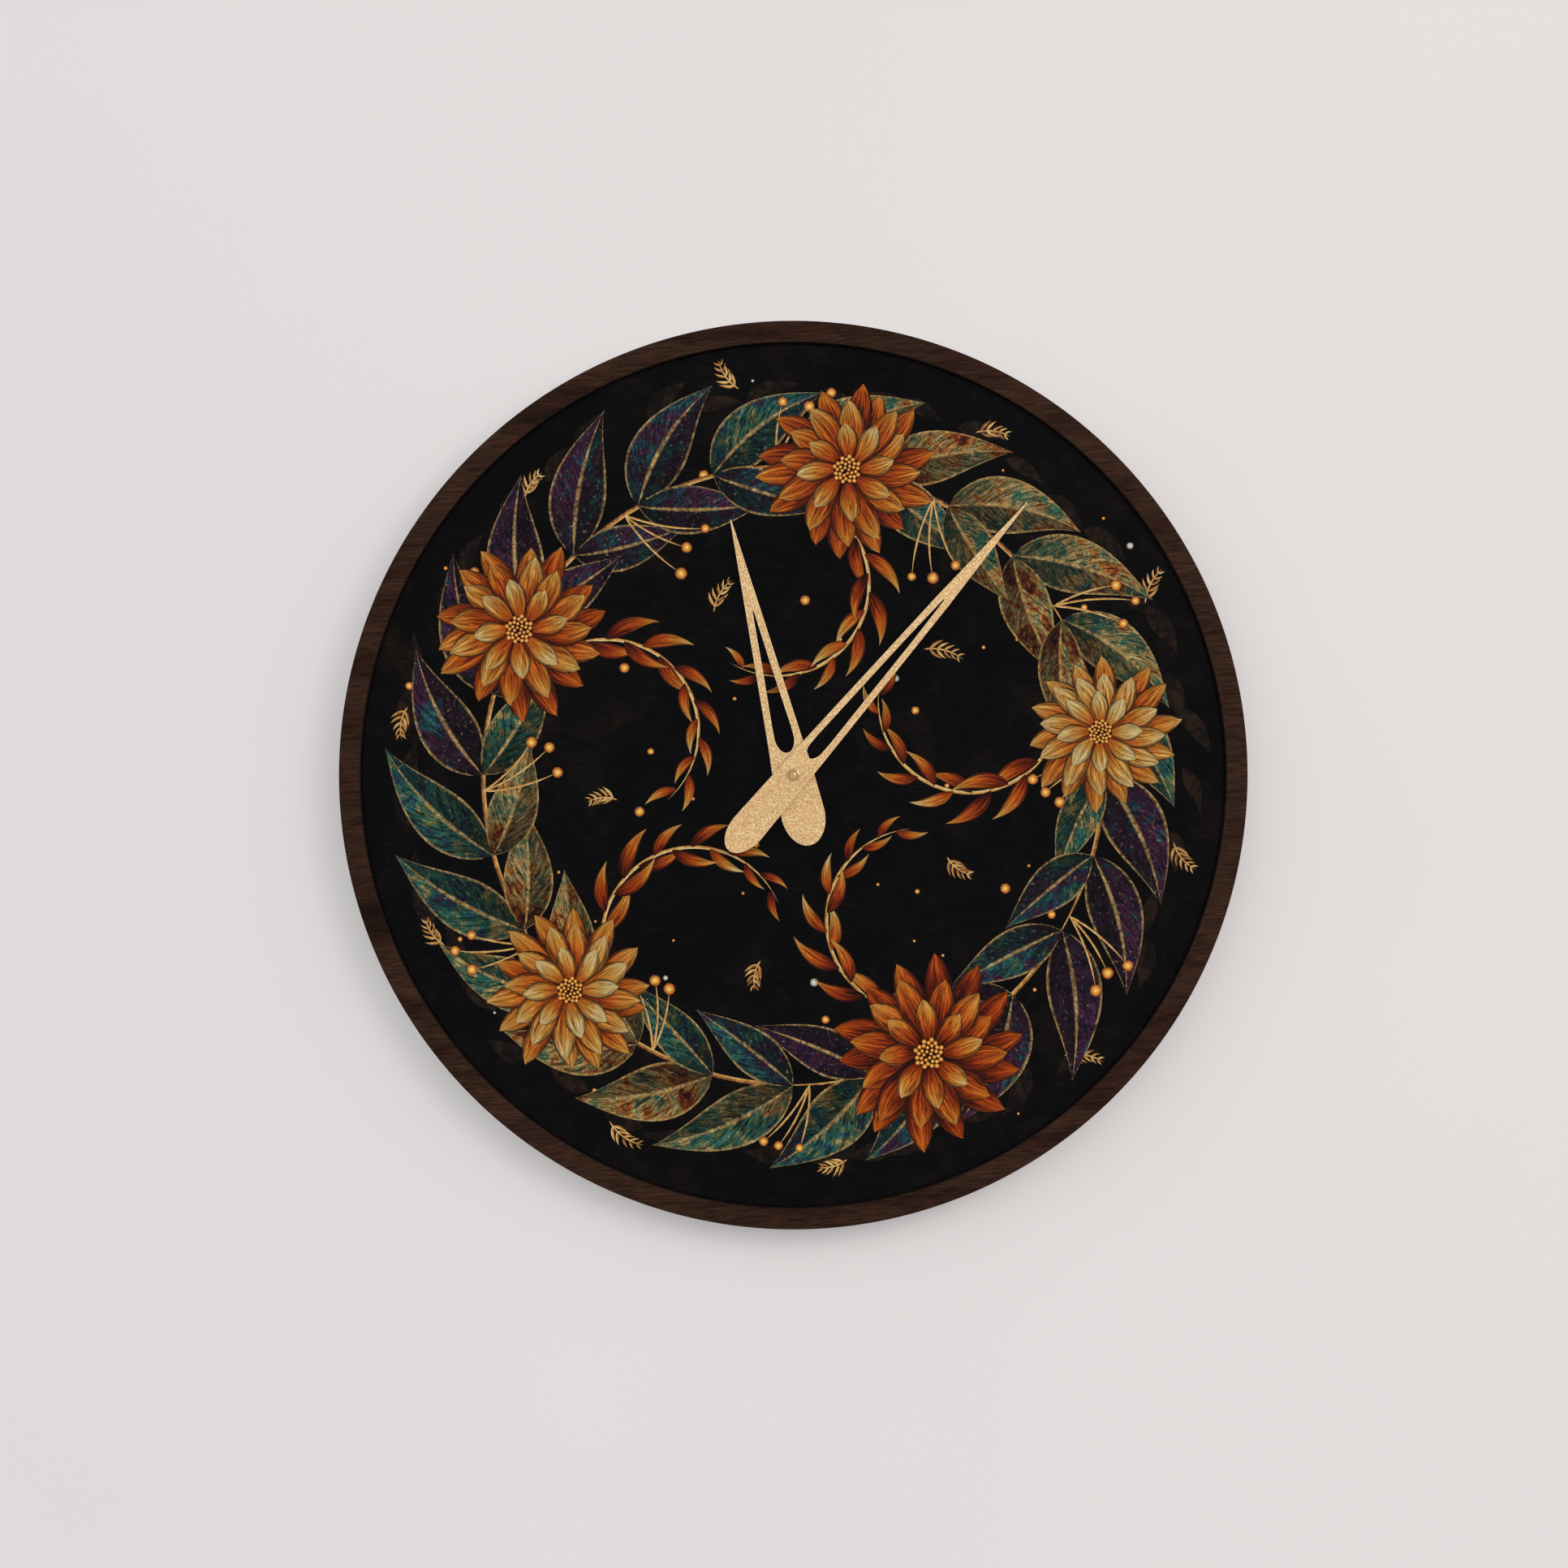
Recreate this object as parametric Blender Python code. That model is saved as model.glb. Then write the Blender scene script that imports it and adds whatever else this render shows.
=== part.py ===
"""Acrylic wall clock with its quartz movement, as separate named pieces.

Each piece is modelled lying on its back: local X is right, local Y is up and local Z is the
distance from the wall. One empty, clock_frame, then stands the whole clock up, so that the
dial faces -Y, the wall is the plane y = 0, and the hands turn about the Y axis at the origin.
"""

import math

import bmesh
import bpy

MM = 0.001

# Clearances between neighbours
SEAT_GAP = 0.3 * MM
RUNNING_GAP = 0.1 * MM

# Dial and ring
DIAL_DIAMETER = 500 * MM
DIAL_THICKNESS = 3 * MM
RING_WIDTH = 11.8 * MM
RING_THICKNESS = 4 * MM

# Hands, measured from the pivot along the hand, with half widths across it
HAND_THICKNESS = 0.8 * MM
HOUR_HAND = {
    "edge": [(144.6, 0.3), (94.6, 4.15), (17.9, 9.7), (4.5, 11.0), (-22.0, 12.05)],
    "tail_length": 17.7,
    "slot": [(92.8, 0.3), (80.0, 1.16), (62.5, 2.3), (44.6, 3.7), (26.8, 5.1), (21.4, 5.3)],
    "slot_end_length": 8.7,
    "clockwise_degrees": 346.2,
}
MINUTE_HAND = {
    "edge": [(197.0, 0.3), (127.0, 4.15), (18.0, 8.05), (-38.0, 9.55)],
    "tail_length": 16.5,
    "slot": [(127.0, 0.3), (98.0, 1.76), (62.0, 2.9), (26.8, 4.08), (19.7, 4.1)],
    "slot_end_length": 7.0,
    "clockwise_degrees": 40.65,
}
HAND_ROUND_POINTS = 12
HAND_SPACE = 1.4 * MM

# Battery, the AA cell
BATTERY_DIAMETER = 14.2 * MM
BATTERY_LENGTH = 49.8 * MM
BATTERY_NUB_RADIUS = 2.75 * MM
BATTERY_NUB_LENGTH = 1.2 * MM
BATTERY_EDGE = 0.6 * MM

# Movement case and cover
CASE_WALL = 1.2 * MM
CASE_CORNER = 3 * MM
COVER_THICKNESS = 1.2 * MM
PARTITION = 0.9 * MM
GEAR_BAY_BELOW = 11.1 * MM
CONTACT_THICKNESS = 0.5 * MM
CONTACT_WIDTH = 3 * MM
LEAF_THICKNESS = 0.4 * MM
LEAF_SPACE = 2.4 * MM
LATCH_WIDTH = 6 * MM
LATCH_THICKNESS = 1 * MM
LATCH_REACH = 6.2 * MM
LATCH_NUB = 0.8 * MM
LATCH_HEIGHTS = (19.5 * MM, 1.0 * MM)
FINGER_NOTCH_RADIUS = 7 * MM
HANGER_WIDTH = 22 * MM
HANGER_HEIGHT = 10 * MM
HANGER_THICKNESS = 2.4 * MM
HANGER_CORNER = 5 * MM
HANGER_SLOT_WIDTH = 12 * MM
HANGER_SLOT_HEIGHT = 5 * MM
HANGER_SLOT_LIFT = 1.6 * MM

# Posts that carry the middle plate, the board and the stator
POST_RADIUS = 2.4 * MM
POST_NECK_RADIUS = 1.6 * MM
PEG_RADIUS = 1.0 * MM
POST_INSET = 3.2 * MM
POST_LIFT = 3.7 * MM

# Teeth and distances between arbors
ROTOR_TEETH = 8
INTERMEDIATE_TEETH = 40
INTERMEDIATE_LEAVES = 8
SECONDS_TEETH = 48
SECONDS_LEAVES = 6
THIRD_TEETH = 45
THIRD_LEAVES = 6
CENTRE_TEETH = 48
CANNON_LEAVES = 10
MOTION_TEETH = 30
MOTION_LEAVES = 8
HOUR_TEETH = 32
SETTING_LEAVES = 10
THIRD_DISTANCE = 9.0 * MM
ROTOR_DISTANCE = 7.2 * MM
MOTION_DISTANCE = 8.4 * MM
THIRD_DIRECTION = math.radians(170)
INTERMEDIATE_DIRECTION = math.radians(60)
ROTOR_DIRECTION = math.radians(30)
MOTION_DIRECTION = math.radians(-10)
SETTING_DIRECTION = math.radians(0)
ADDENDUM = 0.8
DEDENDUM = 1.2
TOOTH_SHARE = 0.88
TOOTH_TIP_SHARE = 0.5
TOOTH_ROOT_SHARE = 1.15

# Wheels, arbors and the levels between cover and front plate
WHEEL_THICKNESS = 0.7 * MM
WHEEL_SPACE = 0.5 * MM
MOTION_WHEEL_THICKNESS = 1.0 * MM
ARBOR_RADIUS = 0.55 * MM
PIVOT_RADIUS = 0.45 * MM
PIVOT_BOSS_RADIUS = 1.6 * MM
PIVOT_BOSS_HEIGHT = 0.9 * MM
CLUTCH_THICKNESS = 0.25 * MM
CLUTCH_RADIUS = 3.4 * MM
CLUTCH_LOBES = 3
CLUTCH_LOBE_DEPTH = 0.5 * MM
COLLAR_RADIUS = 2.3 * MM
COLLAR_THICKNESS = 0.4 * MM
MIDDLE_PLATE_THICKNESS = 1.0 * MM
LIGHTENING_HOLES = 3
LIGHTENING_PLACE = 0.62
LIGHTENING_RADIUS = 0.2
LIGHTENING_POINTS = 8

# Centre work: bushing, tubes and the stack in front of the case
MINUTE_ARBOR_RADIUS = 1.5 * MM
MINUTE_ARBOR_FLAT = 1.05 * MM
THREAD_TIP_RADIUS = 1.1 * MM
THREAD_TIP_LENGTH = 1.8 * MM
TUBE_WALL = 0.9 * MM
BUSHING_WALL = 1.4 * MM
BUSHING_FLANGE_RADIUS = 6.0 * MM
BUSHING_PROUD = 0.5 * MM
GASKET_RADIUS = 13 * MM
GASKET_THICKNESS = 0.8 * MM
WASHER_RADIUS = 7 * MM
WASHER_THICKNESS = 0.6 * MM
NUT_ACROSS_FLATS = 11 * MM
NUT_SIDES = 6
NUT_THICKNESS = 2.4 * MM
COLLET_FLANGE = 1.2 * MM
COLLET_NECK = 0.4 * MM
COLLET_FLANGE_THICKNESS = 0.6 * MM
CAP_FLANGE_RADIUS = 3.35 * MM
CAP_FLANGE_THICKNESS = 0.6 * MM
CAP_DOME_RADIUS = 2.7 * MM
CAP_ROOF = 0.6 * MM

# Setting knob
KNOB_RADIUS = 5.5 * MM
KNOB_THICKNESS = 2.1 * MM
KNOB_RIBS = 24
KNOB_RIB_DEPTH = 0.35 * MM
KNOB_SPACE = 0.5 * MM
KNOB_INSET = 0.2 * MM
WELL_WALL = 1.0 * MM
WELL_FLOOR = 0.8 * MM
SETTING_SHAFT_RADIUS = 1.0 * MM

# Stepping motor
MAGNET_RADIUS = 2.9 * MM
MAGNET_THICKNESS = 2.6 * MM
MAGNET_GAP = 0.7 * MM
STATOR_THICKNESS = 0.8 * MM
STATOR_LAND = 1.8 * MM
STATOR_BAR_WIDTH = 3.3 * MM
STATOR_NOTCH_RADIUS = 0.4 * MM
STATOR_NOTCH_DIRECTIONS = (math.radians(45), math.radians(225))
LUG_WIDTH = 4 * MM
COIL_LENGTH = 19.8 * MM
COIL_CENTRE_X = 7.5 * MM
COIL_DROP = 4.8 * MM
CORE_WIDTH = 3 * MM
CORE_THICKNESS = 0.8 * MM
BOBBIN_WALL = 0.7 * MM
BOBBIN_FLANGE_WIDTH = 8 * MM
BOBBIN_FLANGE_DEPTH = 7.6 * MM
BOBBIN_FLANGE_THICKNESS = 0.8 * MM
WINDING_INSET = 0.6 * MM
WINDING_ROUNDING = 0.8

# Circuit board
BOARD_WIDTH = 8.6 * MM
BOARD_THICKNESS = 1.0 * MM
BOARD_TOP = 15.5 * MM
BOARD_LEVEL = 3.0 * MM
CHIP_RADIUS = 2.6 * MM
CHIP_HEIGHT = 1.3 * MM
CRYSTAL_RADIUS = 1.0 * MM
CRYSTAL_LENGTH = 6.0 * MM

# Points round the rims of round pieces
LARGE_POINTS = 120
MEDIUM_POINTS = 24
SMALL_POINTS = 16
PIVOT_POINTS = 10

# Levels, as distances from the wall
boss_top = COVER_THICKNESS + PIVOT_BOSS_HEIGHT
intermediate_level = boss_top + WHEEL_SPACE
seconds_level = intermediate_level + WHEEL_THICKNESS + WHEEL_SPACE
third_level = seconds_level + WHEEL_THICKNESS + WHEEL_SPACE
collar_level = third_level + WHEEL_THICKNESS + WHEEL_SPACE
clutch_level = collar_level + COLLAR_THICKNESS + RUNNING_GAP
centre_level = clutch_level + CLUTCH_THICKNESS + RUNNING_GAP
middle_level = centre_level + WHEEL_THICKNESS + WHEEL_SPACE
middle_front = middle_level + MIDDLE_PLATE_THICKNESS
motion_level = middle_front + WHEEL_SPACE
hour_level = motion_level + MOTION_WHEEL_THICKNESS + WHEEL_SPACE
flange_level = hour_level + MOTION_WHEEL_THICKNESS + WHEEL_SPACE
battery_depth = BATTERY_DIAMETER + 2 * SEAT_GAP
train_depth = flange_level + WHEEL_THICKNESS + SEAT_GAP
plate_inside = max(battery_depth, train_depth)
case_depth = plate_inside + CASE_WALL
gasket_level = case_depth + SEAT_GAP
dial_level = gasket_level + GASKET_THICKNESS + SEAT_GAP
dial_front = dial_level + DIAL_THICKNESS
ring_level = dial_front + SEAT_GAP
washer_level = dial_front + SEAT_GAP
nut_level = washer_level + WASHER_THICKNESS + SEAT_GAP
bushing_front = nut_level + NUT_THICKNESS + BUSHING_PROUD
collet_level = bushing_front + SEAT_GAP
hour_hand_level = max(collet_level + COLLET_FLANGE_THICKNESS, ring_level + RING_THICKNESS) + SEAT_GAP
collet_front = hour_hand_level + HAND_THICKNESS + SEAT_GAP
tube_front = collet_front + SEAT_GAP
minute_hand_level = hour_hand_level + HAND_THICKNESS + HAND_SPACE
arbor_shoulder = minute_hand_level - SEAT_GAP
cap_level = minute_hand_level + HAND_THICKNESS + SEAT_GAP
thread_front = cap_level + THREAD_TIP_LENGTH
cap_front = thread_front + SEAT_GAP + CAP_ROOF

# Places in the plane of the dial
case_half_width = (BATTERY_LENGTH + SEAT_GAP * 3 + CONTACT_THICKNESS + LEAF_SPACE) / 2
bay_left = -case_half_width
bay_right = case_half_width
partition_low = -GEAR_BAY_BELOW - PARTITION
battery_bay_low = partition_low - battery_depth
battery_height = partition_low - battery_depth / 2
battery_right = bay_right - 2 * SEAT_GAP - CONTACT_THICKNESS
battery_centre_x = battery_right - BATTERY_LENGTH / 2
contact_reach = BATTERY_DIAMETER / 3
tube_radius = MINUTE_ARBOR_RADIUS + RUNNING_GAP + TUBE_WALL
bushing_inner = tube_radius + RUNNING_GAP
bushing_radius = bushing_inner + BUSHING_WALL
bushing_hole = bushing_radius + SEAT_GAP
pivot_hole = PIVOT_RADIUS + RUNNING_GAP
shaft_hole = SETTING_SHAFT_RADIUS + RUNNING_GAP
post_neck_hole = POST_NECK_RADIUS + SEAT_GAP
peg_hole = PEG_RADIUS + SEAT_GAP


def module_of(distance, wheel_teeth, pinion_leaves):
    """Tooth module of a pair whose arbors stand at this distance."""
    return 2 * distance / (wheel_teeth + pinion_leaves)


def step(start, distance, direction):
    """The point at a distance and direction from another."""
    return (start[0] + distance * math.cos(direction), start[1] + distance * math.sin(direction))


centre_module = module_of(THIRD_DISTANCE, CENTRE_TEETH, THIRD_LEAVES)
third_module = module_of(THIRD_DISTANCE, THIRD_TEETH, SECONDS_LEAVES)
centre_wheel_reach = centre_module * (CENTRE_TEETH / 2 + ADDENDUM)
intermediate_distance = centre_wheel_reach + ARBOR_RADIUS + SEAT_GAP
seconds_module = module_of(intermediate_distance, SECONDS_TEETH, INTERMEDIATE_LEAVES)
rotor_module = module_of(ROTOR_DISTANCE, INTERMEDIATE_TEETH, ROTOR_TEETH)
cannon_module = module_of(MOTION_DISTANCE, MOTION_TEETH, CANNON_LEAVES)
hour_module = module_of(MOTION_DISTANCE, HOUR_TEETH, MOTION_LEAVES)
setting_distance = cannon_module * (MOTION_TEETH + SETTING_LEAVES) / 2

CENTRE = (0.0, 0.0)
third_place = step(CENTRE, THIRD_DISTANCE, THIRD_DIRECTION)
intermediate_place = step(CENTRE, intermediate_distance, INTERMEDIATE_DIRECTION)
rotor_place = step(intermediate_place, ROTOR_DISTANCE, ROTOR_DIRECTION)
motion_place = step(CENTRE, MOTION_DISTANCE, MOTION_DIRECTION)
setting_place = step(motion_place, setting_distance, SETTING_DIRECTION)
stator_bar_low = rotor_place[1] + MAGNET_RADIUS
stator_bar_top = stator_bar_low + STATOR_BAR_WIDTH
coil_height = stator_bar_top + SEAT_GAP + BOBBIN_FLANGE_WIDTH / 2
gear_bay_above = coil_height + COIL_DROP
coil_left = COIL_CENTRE_X - COIL_LENGTH / 2
coil_right = COIL_CENTRE_X + COIL_LENGTH / 2
stator_level = third_level + WHEEL_THICKNESS / 2
core_level = stator_level + STATOR_THICKNESS + SEAT_GAP
coil_level = core_level + CORE_THICKNESS / 2
left_lug_centre = coil_left - SEAT_GAP * 2 - LUG_WIDTH / 2
right_lug_centre = coil_right + SEAT_GAP * 2 + LUG_WIDTH / 2
stator_posts = [
    (left_lug_centre, (stator_bar_low + stator_bar_top) / 2),
    (right_lug_centre, (stator_bar_low + stator_bar_top) / 2),
]
board_left = bay_left + SEAT_GAP * 2 + LATCH_THICKNESS
board_right = board_left + BOARD_WIDTH
board_low = -GEAR_BAY_BELOW + SEAT_GAP * 2 + CONTACT_THICKNESS
board_centre_x = (board_left + board_right) / 2
board_posts = [(board_centre_x, board_low + POST_RADIUS), (board_centre_x, BOARD_TOP - POST_RADIUS)]
low_posts = -GEAR_BAY_BELOW + POST_LIFT
plate_left = board_right - POST_NECK_RADIUS
plate_right = bay_right - 2 * SEAT_GAP
plate_low = -GEAR_BAY_BELOW + 3 * SEAT_GAP
plate_top = stator_posts[0][1] - POST_RADIUS - SEAT_GAP
plate_posts = [
    (bay_right - POST_INSET, low_posts),
    (board_right + POST_RADIUS, low_posts),
    (bay_right - POST_INSET, plate_top - POST_RADIUS - SEAT_GAP),
    (board_right + POST_RADIUS, plate_top - POST_RADIUS - SEAT_GAP),
]
cover_posts = [
    (bay_right - POST_NECK_RADIUS - 2 * SEAT_GAP, gear_bay_above - POST_NECK_RADIUS - 2 * SEAT_GAP),
    (bay_left + POST_NECK_RADIUS + 2 * SEAT_GAP, gear_bay_above - POST_NECK_RADIUS - 2 * SEAT_GAP),
]

# Finishes: colour, roughness, metallic
FINISHES = {
    "walnut_veneer": ("#3a2820", 0.6, 0.0),
    "printed_acrylic": ("#151316", 0.2, 0.0),
    "gold_powder_coat": ("#d5ad7c", 0.5, 0.6),
    "turned_brass": ("#c9a35c", 0.3, 1.0),
    "moulded_black_abs": ("#1c1c1e", 0.5, 0.0),
    "moulded_white_acetal": ("#e6e3da", 0.4, 0.0),
    "black_rubber": ("#222222", 0.8, 0.0),
    "plated_steel": ("#b9bcc0", 0.3, 1.0),
    "spring_bronze": ("#b8824a", 0.35, 1.0),
    "silicon_steel": ("#8e9094", 0.4, 1.0),
    "sintered_ferrite": ("#3a3a3d", 0.6, 0.2),
    "enamelled_copper": ("#b4602c", 0.35, 0.6),
    "fibre_board": ("#2f6b3c", 0.5, 0.0),
    "chip_resin": ("#0c0c0d", 0.4, 0.0),
    "cell_jacket": ("#5b6068", 0.35, 0.4),
}


def linear(channel):
    """One sRGB channel as a linear value."""
    if channel <= 0.04045:
        return channel / 12.92
    return ((channel + 0.055) / 1.055) ** 2.4


def finish(name):
    """The Principled material of a finish, made once."""
    found = bpy.data.materials.get(name)
    if found:
        return found
    colour, roughness, metallic = FINISHES[name]
    channels = [linear(int(colour[i : i + 2], 16) / 255) for i in (1, 3, 5)]
    material = bpy.data.materials.new(name)
    material.use_nodes = True
    shader = material.node_tree.nodes["Principled BSDF"]
    shader.inputs["Base Color"].default_value = (*channels, 1)
    shader.inputs["Roughness"].default_value = roughness
    shader.inputs["Metallic"].default_value = metallic
    return material


def circle(radius, points, centre=CENTRE, start=0.0):
    """A round outline, counted anticlockwise."""
    return [step(centre, radius, start + 2 * math.pi * i / points) for i in range(points)]


def box_outline(left, right, low, high):
    """A rectangular outline."""
    return [(left, low), (right, low), (right, high), (left, high)]


def rounded_outline(left, right, low, high, radius, corner_steps=4):
    """A rectangular outline with round corners."""
    corners = [(right - radius, low + radius), (right - radius, high - radius),
               (left + radius, high - radius), (left + radius, low + radius)]
    points = []
    for quarter, corner in enumerate(corners):
        for i in range(corner_steps + 1):
            points.append(step(corner, radius, math.pi / 2 * (quarter - 1 + i / corner_steps)))
    return points


def gear_outline(teeth, module, phase):
    """Straight-sided clock teeth, one of them pointing along the phase angle."""
    half = math.pi / (2 * teeth) * TOOTH_SHARE
    root = module * (teeth / 2 - DEDENDUM)
    tip = module * (teeth / 2 + ADDENDUM)
    points = []
    for tooth in range(teeth):
        middle = phase + 2 * math.pi * tooth / teeth
        for radius, share in ((root, -TOOTH_ROOT_SHARE), (tip, -TOOTH_TIP_SHARE),
                              (tip, TOOTH_TIP_SHARE), (root, TOOTH_ROOT_SHARE)):
            points.append(step(CENTRE, radius, middle + half * share))
    return points


def meshing_phase(phase, teeth, direction, next_teeth):
    """Phase of the next gear in this direction, with its gap facing a tooth of this one."""
    passed = (direction - phase) * teeth / (2 * math.pi)
    return direction + math.pi - 2 * math.pi / next_teeth * (0.5 - passed)


def add_prism(bm, loops, low, high):
    """A flat outline with any holes, from one level to another."""
    edges = []
    for loop in loops:
        corners = [bm.verts.new((x, y, low)) for x, y in loop]
        edges += [bm.edges.new(pair) for pair in zip(corners, corners[1:] + corners[:1])]
    filled = bmesh.ops.triangle_fill(bm, use_beauty=True, edges=edges)
    faces = [item for item in filled["geom"] if isinstance(item, bmesh.types.BMFace)]
    grown = bmesh.ops.extrude_face_region(bm, geom=faces)
    moved = [item for item in grown["geom"] if isinstance(item, bmesh.types.BMVert)]
    bmesh.ops.translate(bm, verts=moved, vec=(0, 0, high - low))


def add_turned(bm, profile, points, centre=CENTRE):
    """A profile of (radius, level) points turned about the forward axis through a centre."""
    corners = [bm.verts.new((centre[0] + r, centre[1], z)) for r, z in profile]
    pairs = list(zip(corners, corners[1:]))
    if profile[0][0] > 0:
        pairs.append((corners[-1], corners[0]))
    edges = [bm.edges.new(pair) for pair in pairs]
    bmesh.ops.spin(bm, geom=corners + edges, angle=2 * math.pi, steps=points,
                   axis=(0, 0, 1), cent=(*centre, 0), use_merge=True)


def add_cylinder(bm, radius, low, high, points, centre=CENTRE):
    """A plain round bar."""
    add_prism(bm, [circle(radius, points, centre)], low, high)


def add_ring(bm, inner, outer, low, high, points, hole_points):
    """A washer or tube round the hand axis."""
    add_prism(bm, [circle(outer, points), circle(inner, hole_points)], low, high)


def add_box(bm, left, right, bottom, top, low, high):
    """A rectangular block."""
    add_prism(bm, [box_outline(left, right, bottom, top)], low, high)


def mesh_object(name, bm, place, turn):
    """Closes the mesh and puts it in the clock's frame."""
    bmesh.ops.remove_doubles(bm, verts=bm.verts, dist=1e-7)
    bmesh.ops.recalc_face_normals(bm, faces=bm.faces)
    mesh = bpy.data.meshes.new(name)
    bm.to_mesh(mesh)
    bm.free()
    made = bpy.data.objects.new(name, mesh)
    bpy.context.scene.collection.objects.link(made)
    made.parent = clock_frame
    made.location = place
    made.rotation_euler = turn
    return made


def piece(name, bm, material, place=(0, 0, 0), turn=(0, 0, 0)):
    """A finished piece of the clock."""
    made = mesh_object(name, bm, place, turn)
    made.data.materials.append(finish(material))
    made.data.shade_smooth()
    made.data.set_sharp_from_angle(angle=math.radians(30))
    return made


def combine(target, name, bm, operation, place=(0, 0, 0), turn=(0, 0, 0)):
    """Adds a shape to a piece, or cuts it out, with a hidden helper object."""
    helper = mesh_object(name, bm, place, turn)
    helper.hide_render = True
    helper.display_type = "WIRE"
    modifier = target.modifiers.new(name, "BOOLEAN")
    modifier.operation = operation
    modifier.solver = "EXACT"
    modifier.object = helper


def dial_and_ring():
    """Round printed acrylic panel with the flat wood ring bonded on its front."""
    bm = bmesh.new()
    add_ring(bm, bushing_hole, DIAL_DIAMETER / 2, dial_level, dial_front, LARGE_POINTS, SMALL_POINTS)
    piece("dial_panel", bm, "printed_acrylic")
    bm = bmesh.new()
    inner = DIAL_DIAMETER / 2 - RING_WIDTH
    ring_front = ring_level + RING_THICKNESS
    add_ring(bm, inner, DIAL_DIAMETER / 2, ring_level, ring_front, LARGE_POINTS, LARGE_POINTS)
    piece("front_ring", bm, "walnut_veneer")


def mirrored(half_edge):
    """Both sides of a shape that is symmetrical about the hand's length."""
    left = [(-across, along) for across, along in reversed(half_edge) if across > 0]
    return half_edge + left


def round_end(along, half_width, length):
    """A half ellipse from the widest point down to the centre line."""
    turns = [math.pi / 2 * i / HAND_ROUND_POINTS for i in range(1, HAND_ROUND_POINTS + 1)]
    points = [(half_width * math.cos(a), along - length * math.sin(a)) for a in turns[:-1]]
    return points + [(0.0, along - length)]


def hand_loops(hand):
    """Outline and slot of a slotted spear hand that points up."""
    loops = []
    for edge, end in (("edge", "tail_length"), ("slot", "slot_end_length")):
        half = [(across * MM, along * MM) for along, across in hand[edge]]
        last_across, last_along = half[-1]
        loops.append(mirrored(half + round_end(last_along, last_across, hand[end] * MM)))
    return loops


def flatted_outline(radius, flat):
    """A round outline with two flats, as on the minute arbor's tip."""
    reach = math.asin(flat / radius)
    count = PIVOT_POINTS // 2
    right = [step(CENTRE, radius, reach * (2 * i / count - 1)) for i in range(count + 1)]
    return right + [(-x, -y) for x, y in right]


def hour_hand():
    """Hour hand, pressed with its collet on the hour tube."""
    turn = (0, 0, -math.radians(HOUR_HAND["clockwise_degrees"]))
    neck = tube_radius + RUNNING_GAP + COLLET_NECK
    bm = bmesh.new()
    hole = circle(neck + RUNNING_GAP, SMALL_POINTS)
    add_prism(bm, hand_loops(HOUR_HAND) + [hole], hour_hand_level, hour_hand_level + HAND_THICKNESS)
    piece("hour_hand", bm, "gold_powder_coat", turn=turn)
    bm = bmesh.new()
    bore = tube_radius + RUNNING_GAP
    flange_front = hour_hand_level - SEAT_GAP
    add_turned(bm, [(bore, collet_level), (bore + COLLET_FLANGE, collet_level),
                    (bore + COLLET_FLANGE, flange_front), (neck, flange_front),
                    (neck, collet_front), (bore, collet_front)], SMALL_POINTS)
    piece("hour_hand_collet", bm, "turned_brass", turn=turn)


def minute_hand():
    """Minute hand on the arbor's flats, and the domed cap nut that holds it."""
    turn = (0, 0, -math.radians(MINUTE_HAND["clockwise_degrees"]))
    hole = flatted_outline(MINUTE_ARBOR_RADIUS + RUNNING_GAP, MINUTE_ARBOR_FLAT + RUNNING_GAP)
    bm = bmesh.new()
    top = minute_hand_level + HAND_THICKNESS
    add_prism(bm, hand_loops(MINUTE_HAND) + [hole], minute_hand_level, top)
    piece("minute_hand", bm, "gold_powder_coat", turn=turn)
    bm = bmesh.new()
    bore = THREAD_TIP_RADIUS + RUNNING_GAP
    dome_base = cap_level + CAP_FLANGE_THICKNESS
    dome_height = cap_front - dome_base
    arc_points = 6
    dome = [(CAP_DOME_RADIUS * math.cos(math.pi / 2 * i / arc_points),
             dome_base + dome_height * math.sin(math.pi / 2 * i / arc_points))
            for i in range(arc_points)]
    profile = [(0, thread_front + SEAT_GAP), (bore, thread_front + SEAT_GAP), (bore, cap_level),
               (CAP_FLANGE_RADIUS, cap_level), (CAP_FLANGE_RADIUS, dome_base)]
    add_turned(bm, profile + dome + [(0, cap_front)], SMALL_POINTS)
    piece("cap_nut", bm, "turned_brass")


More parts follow.
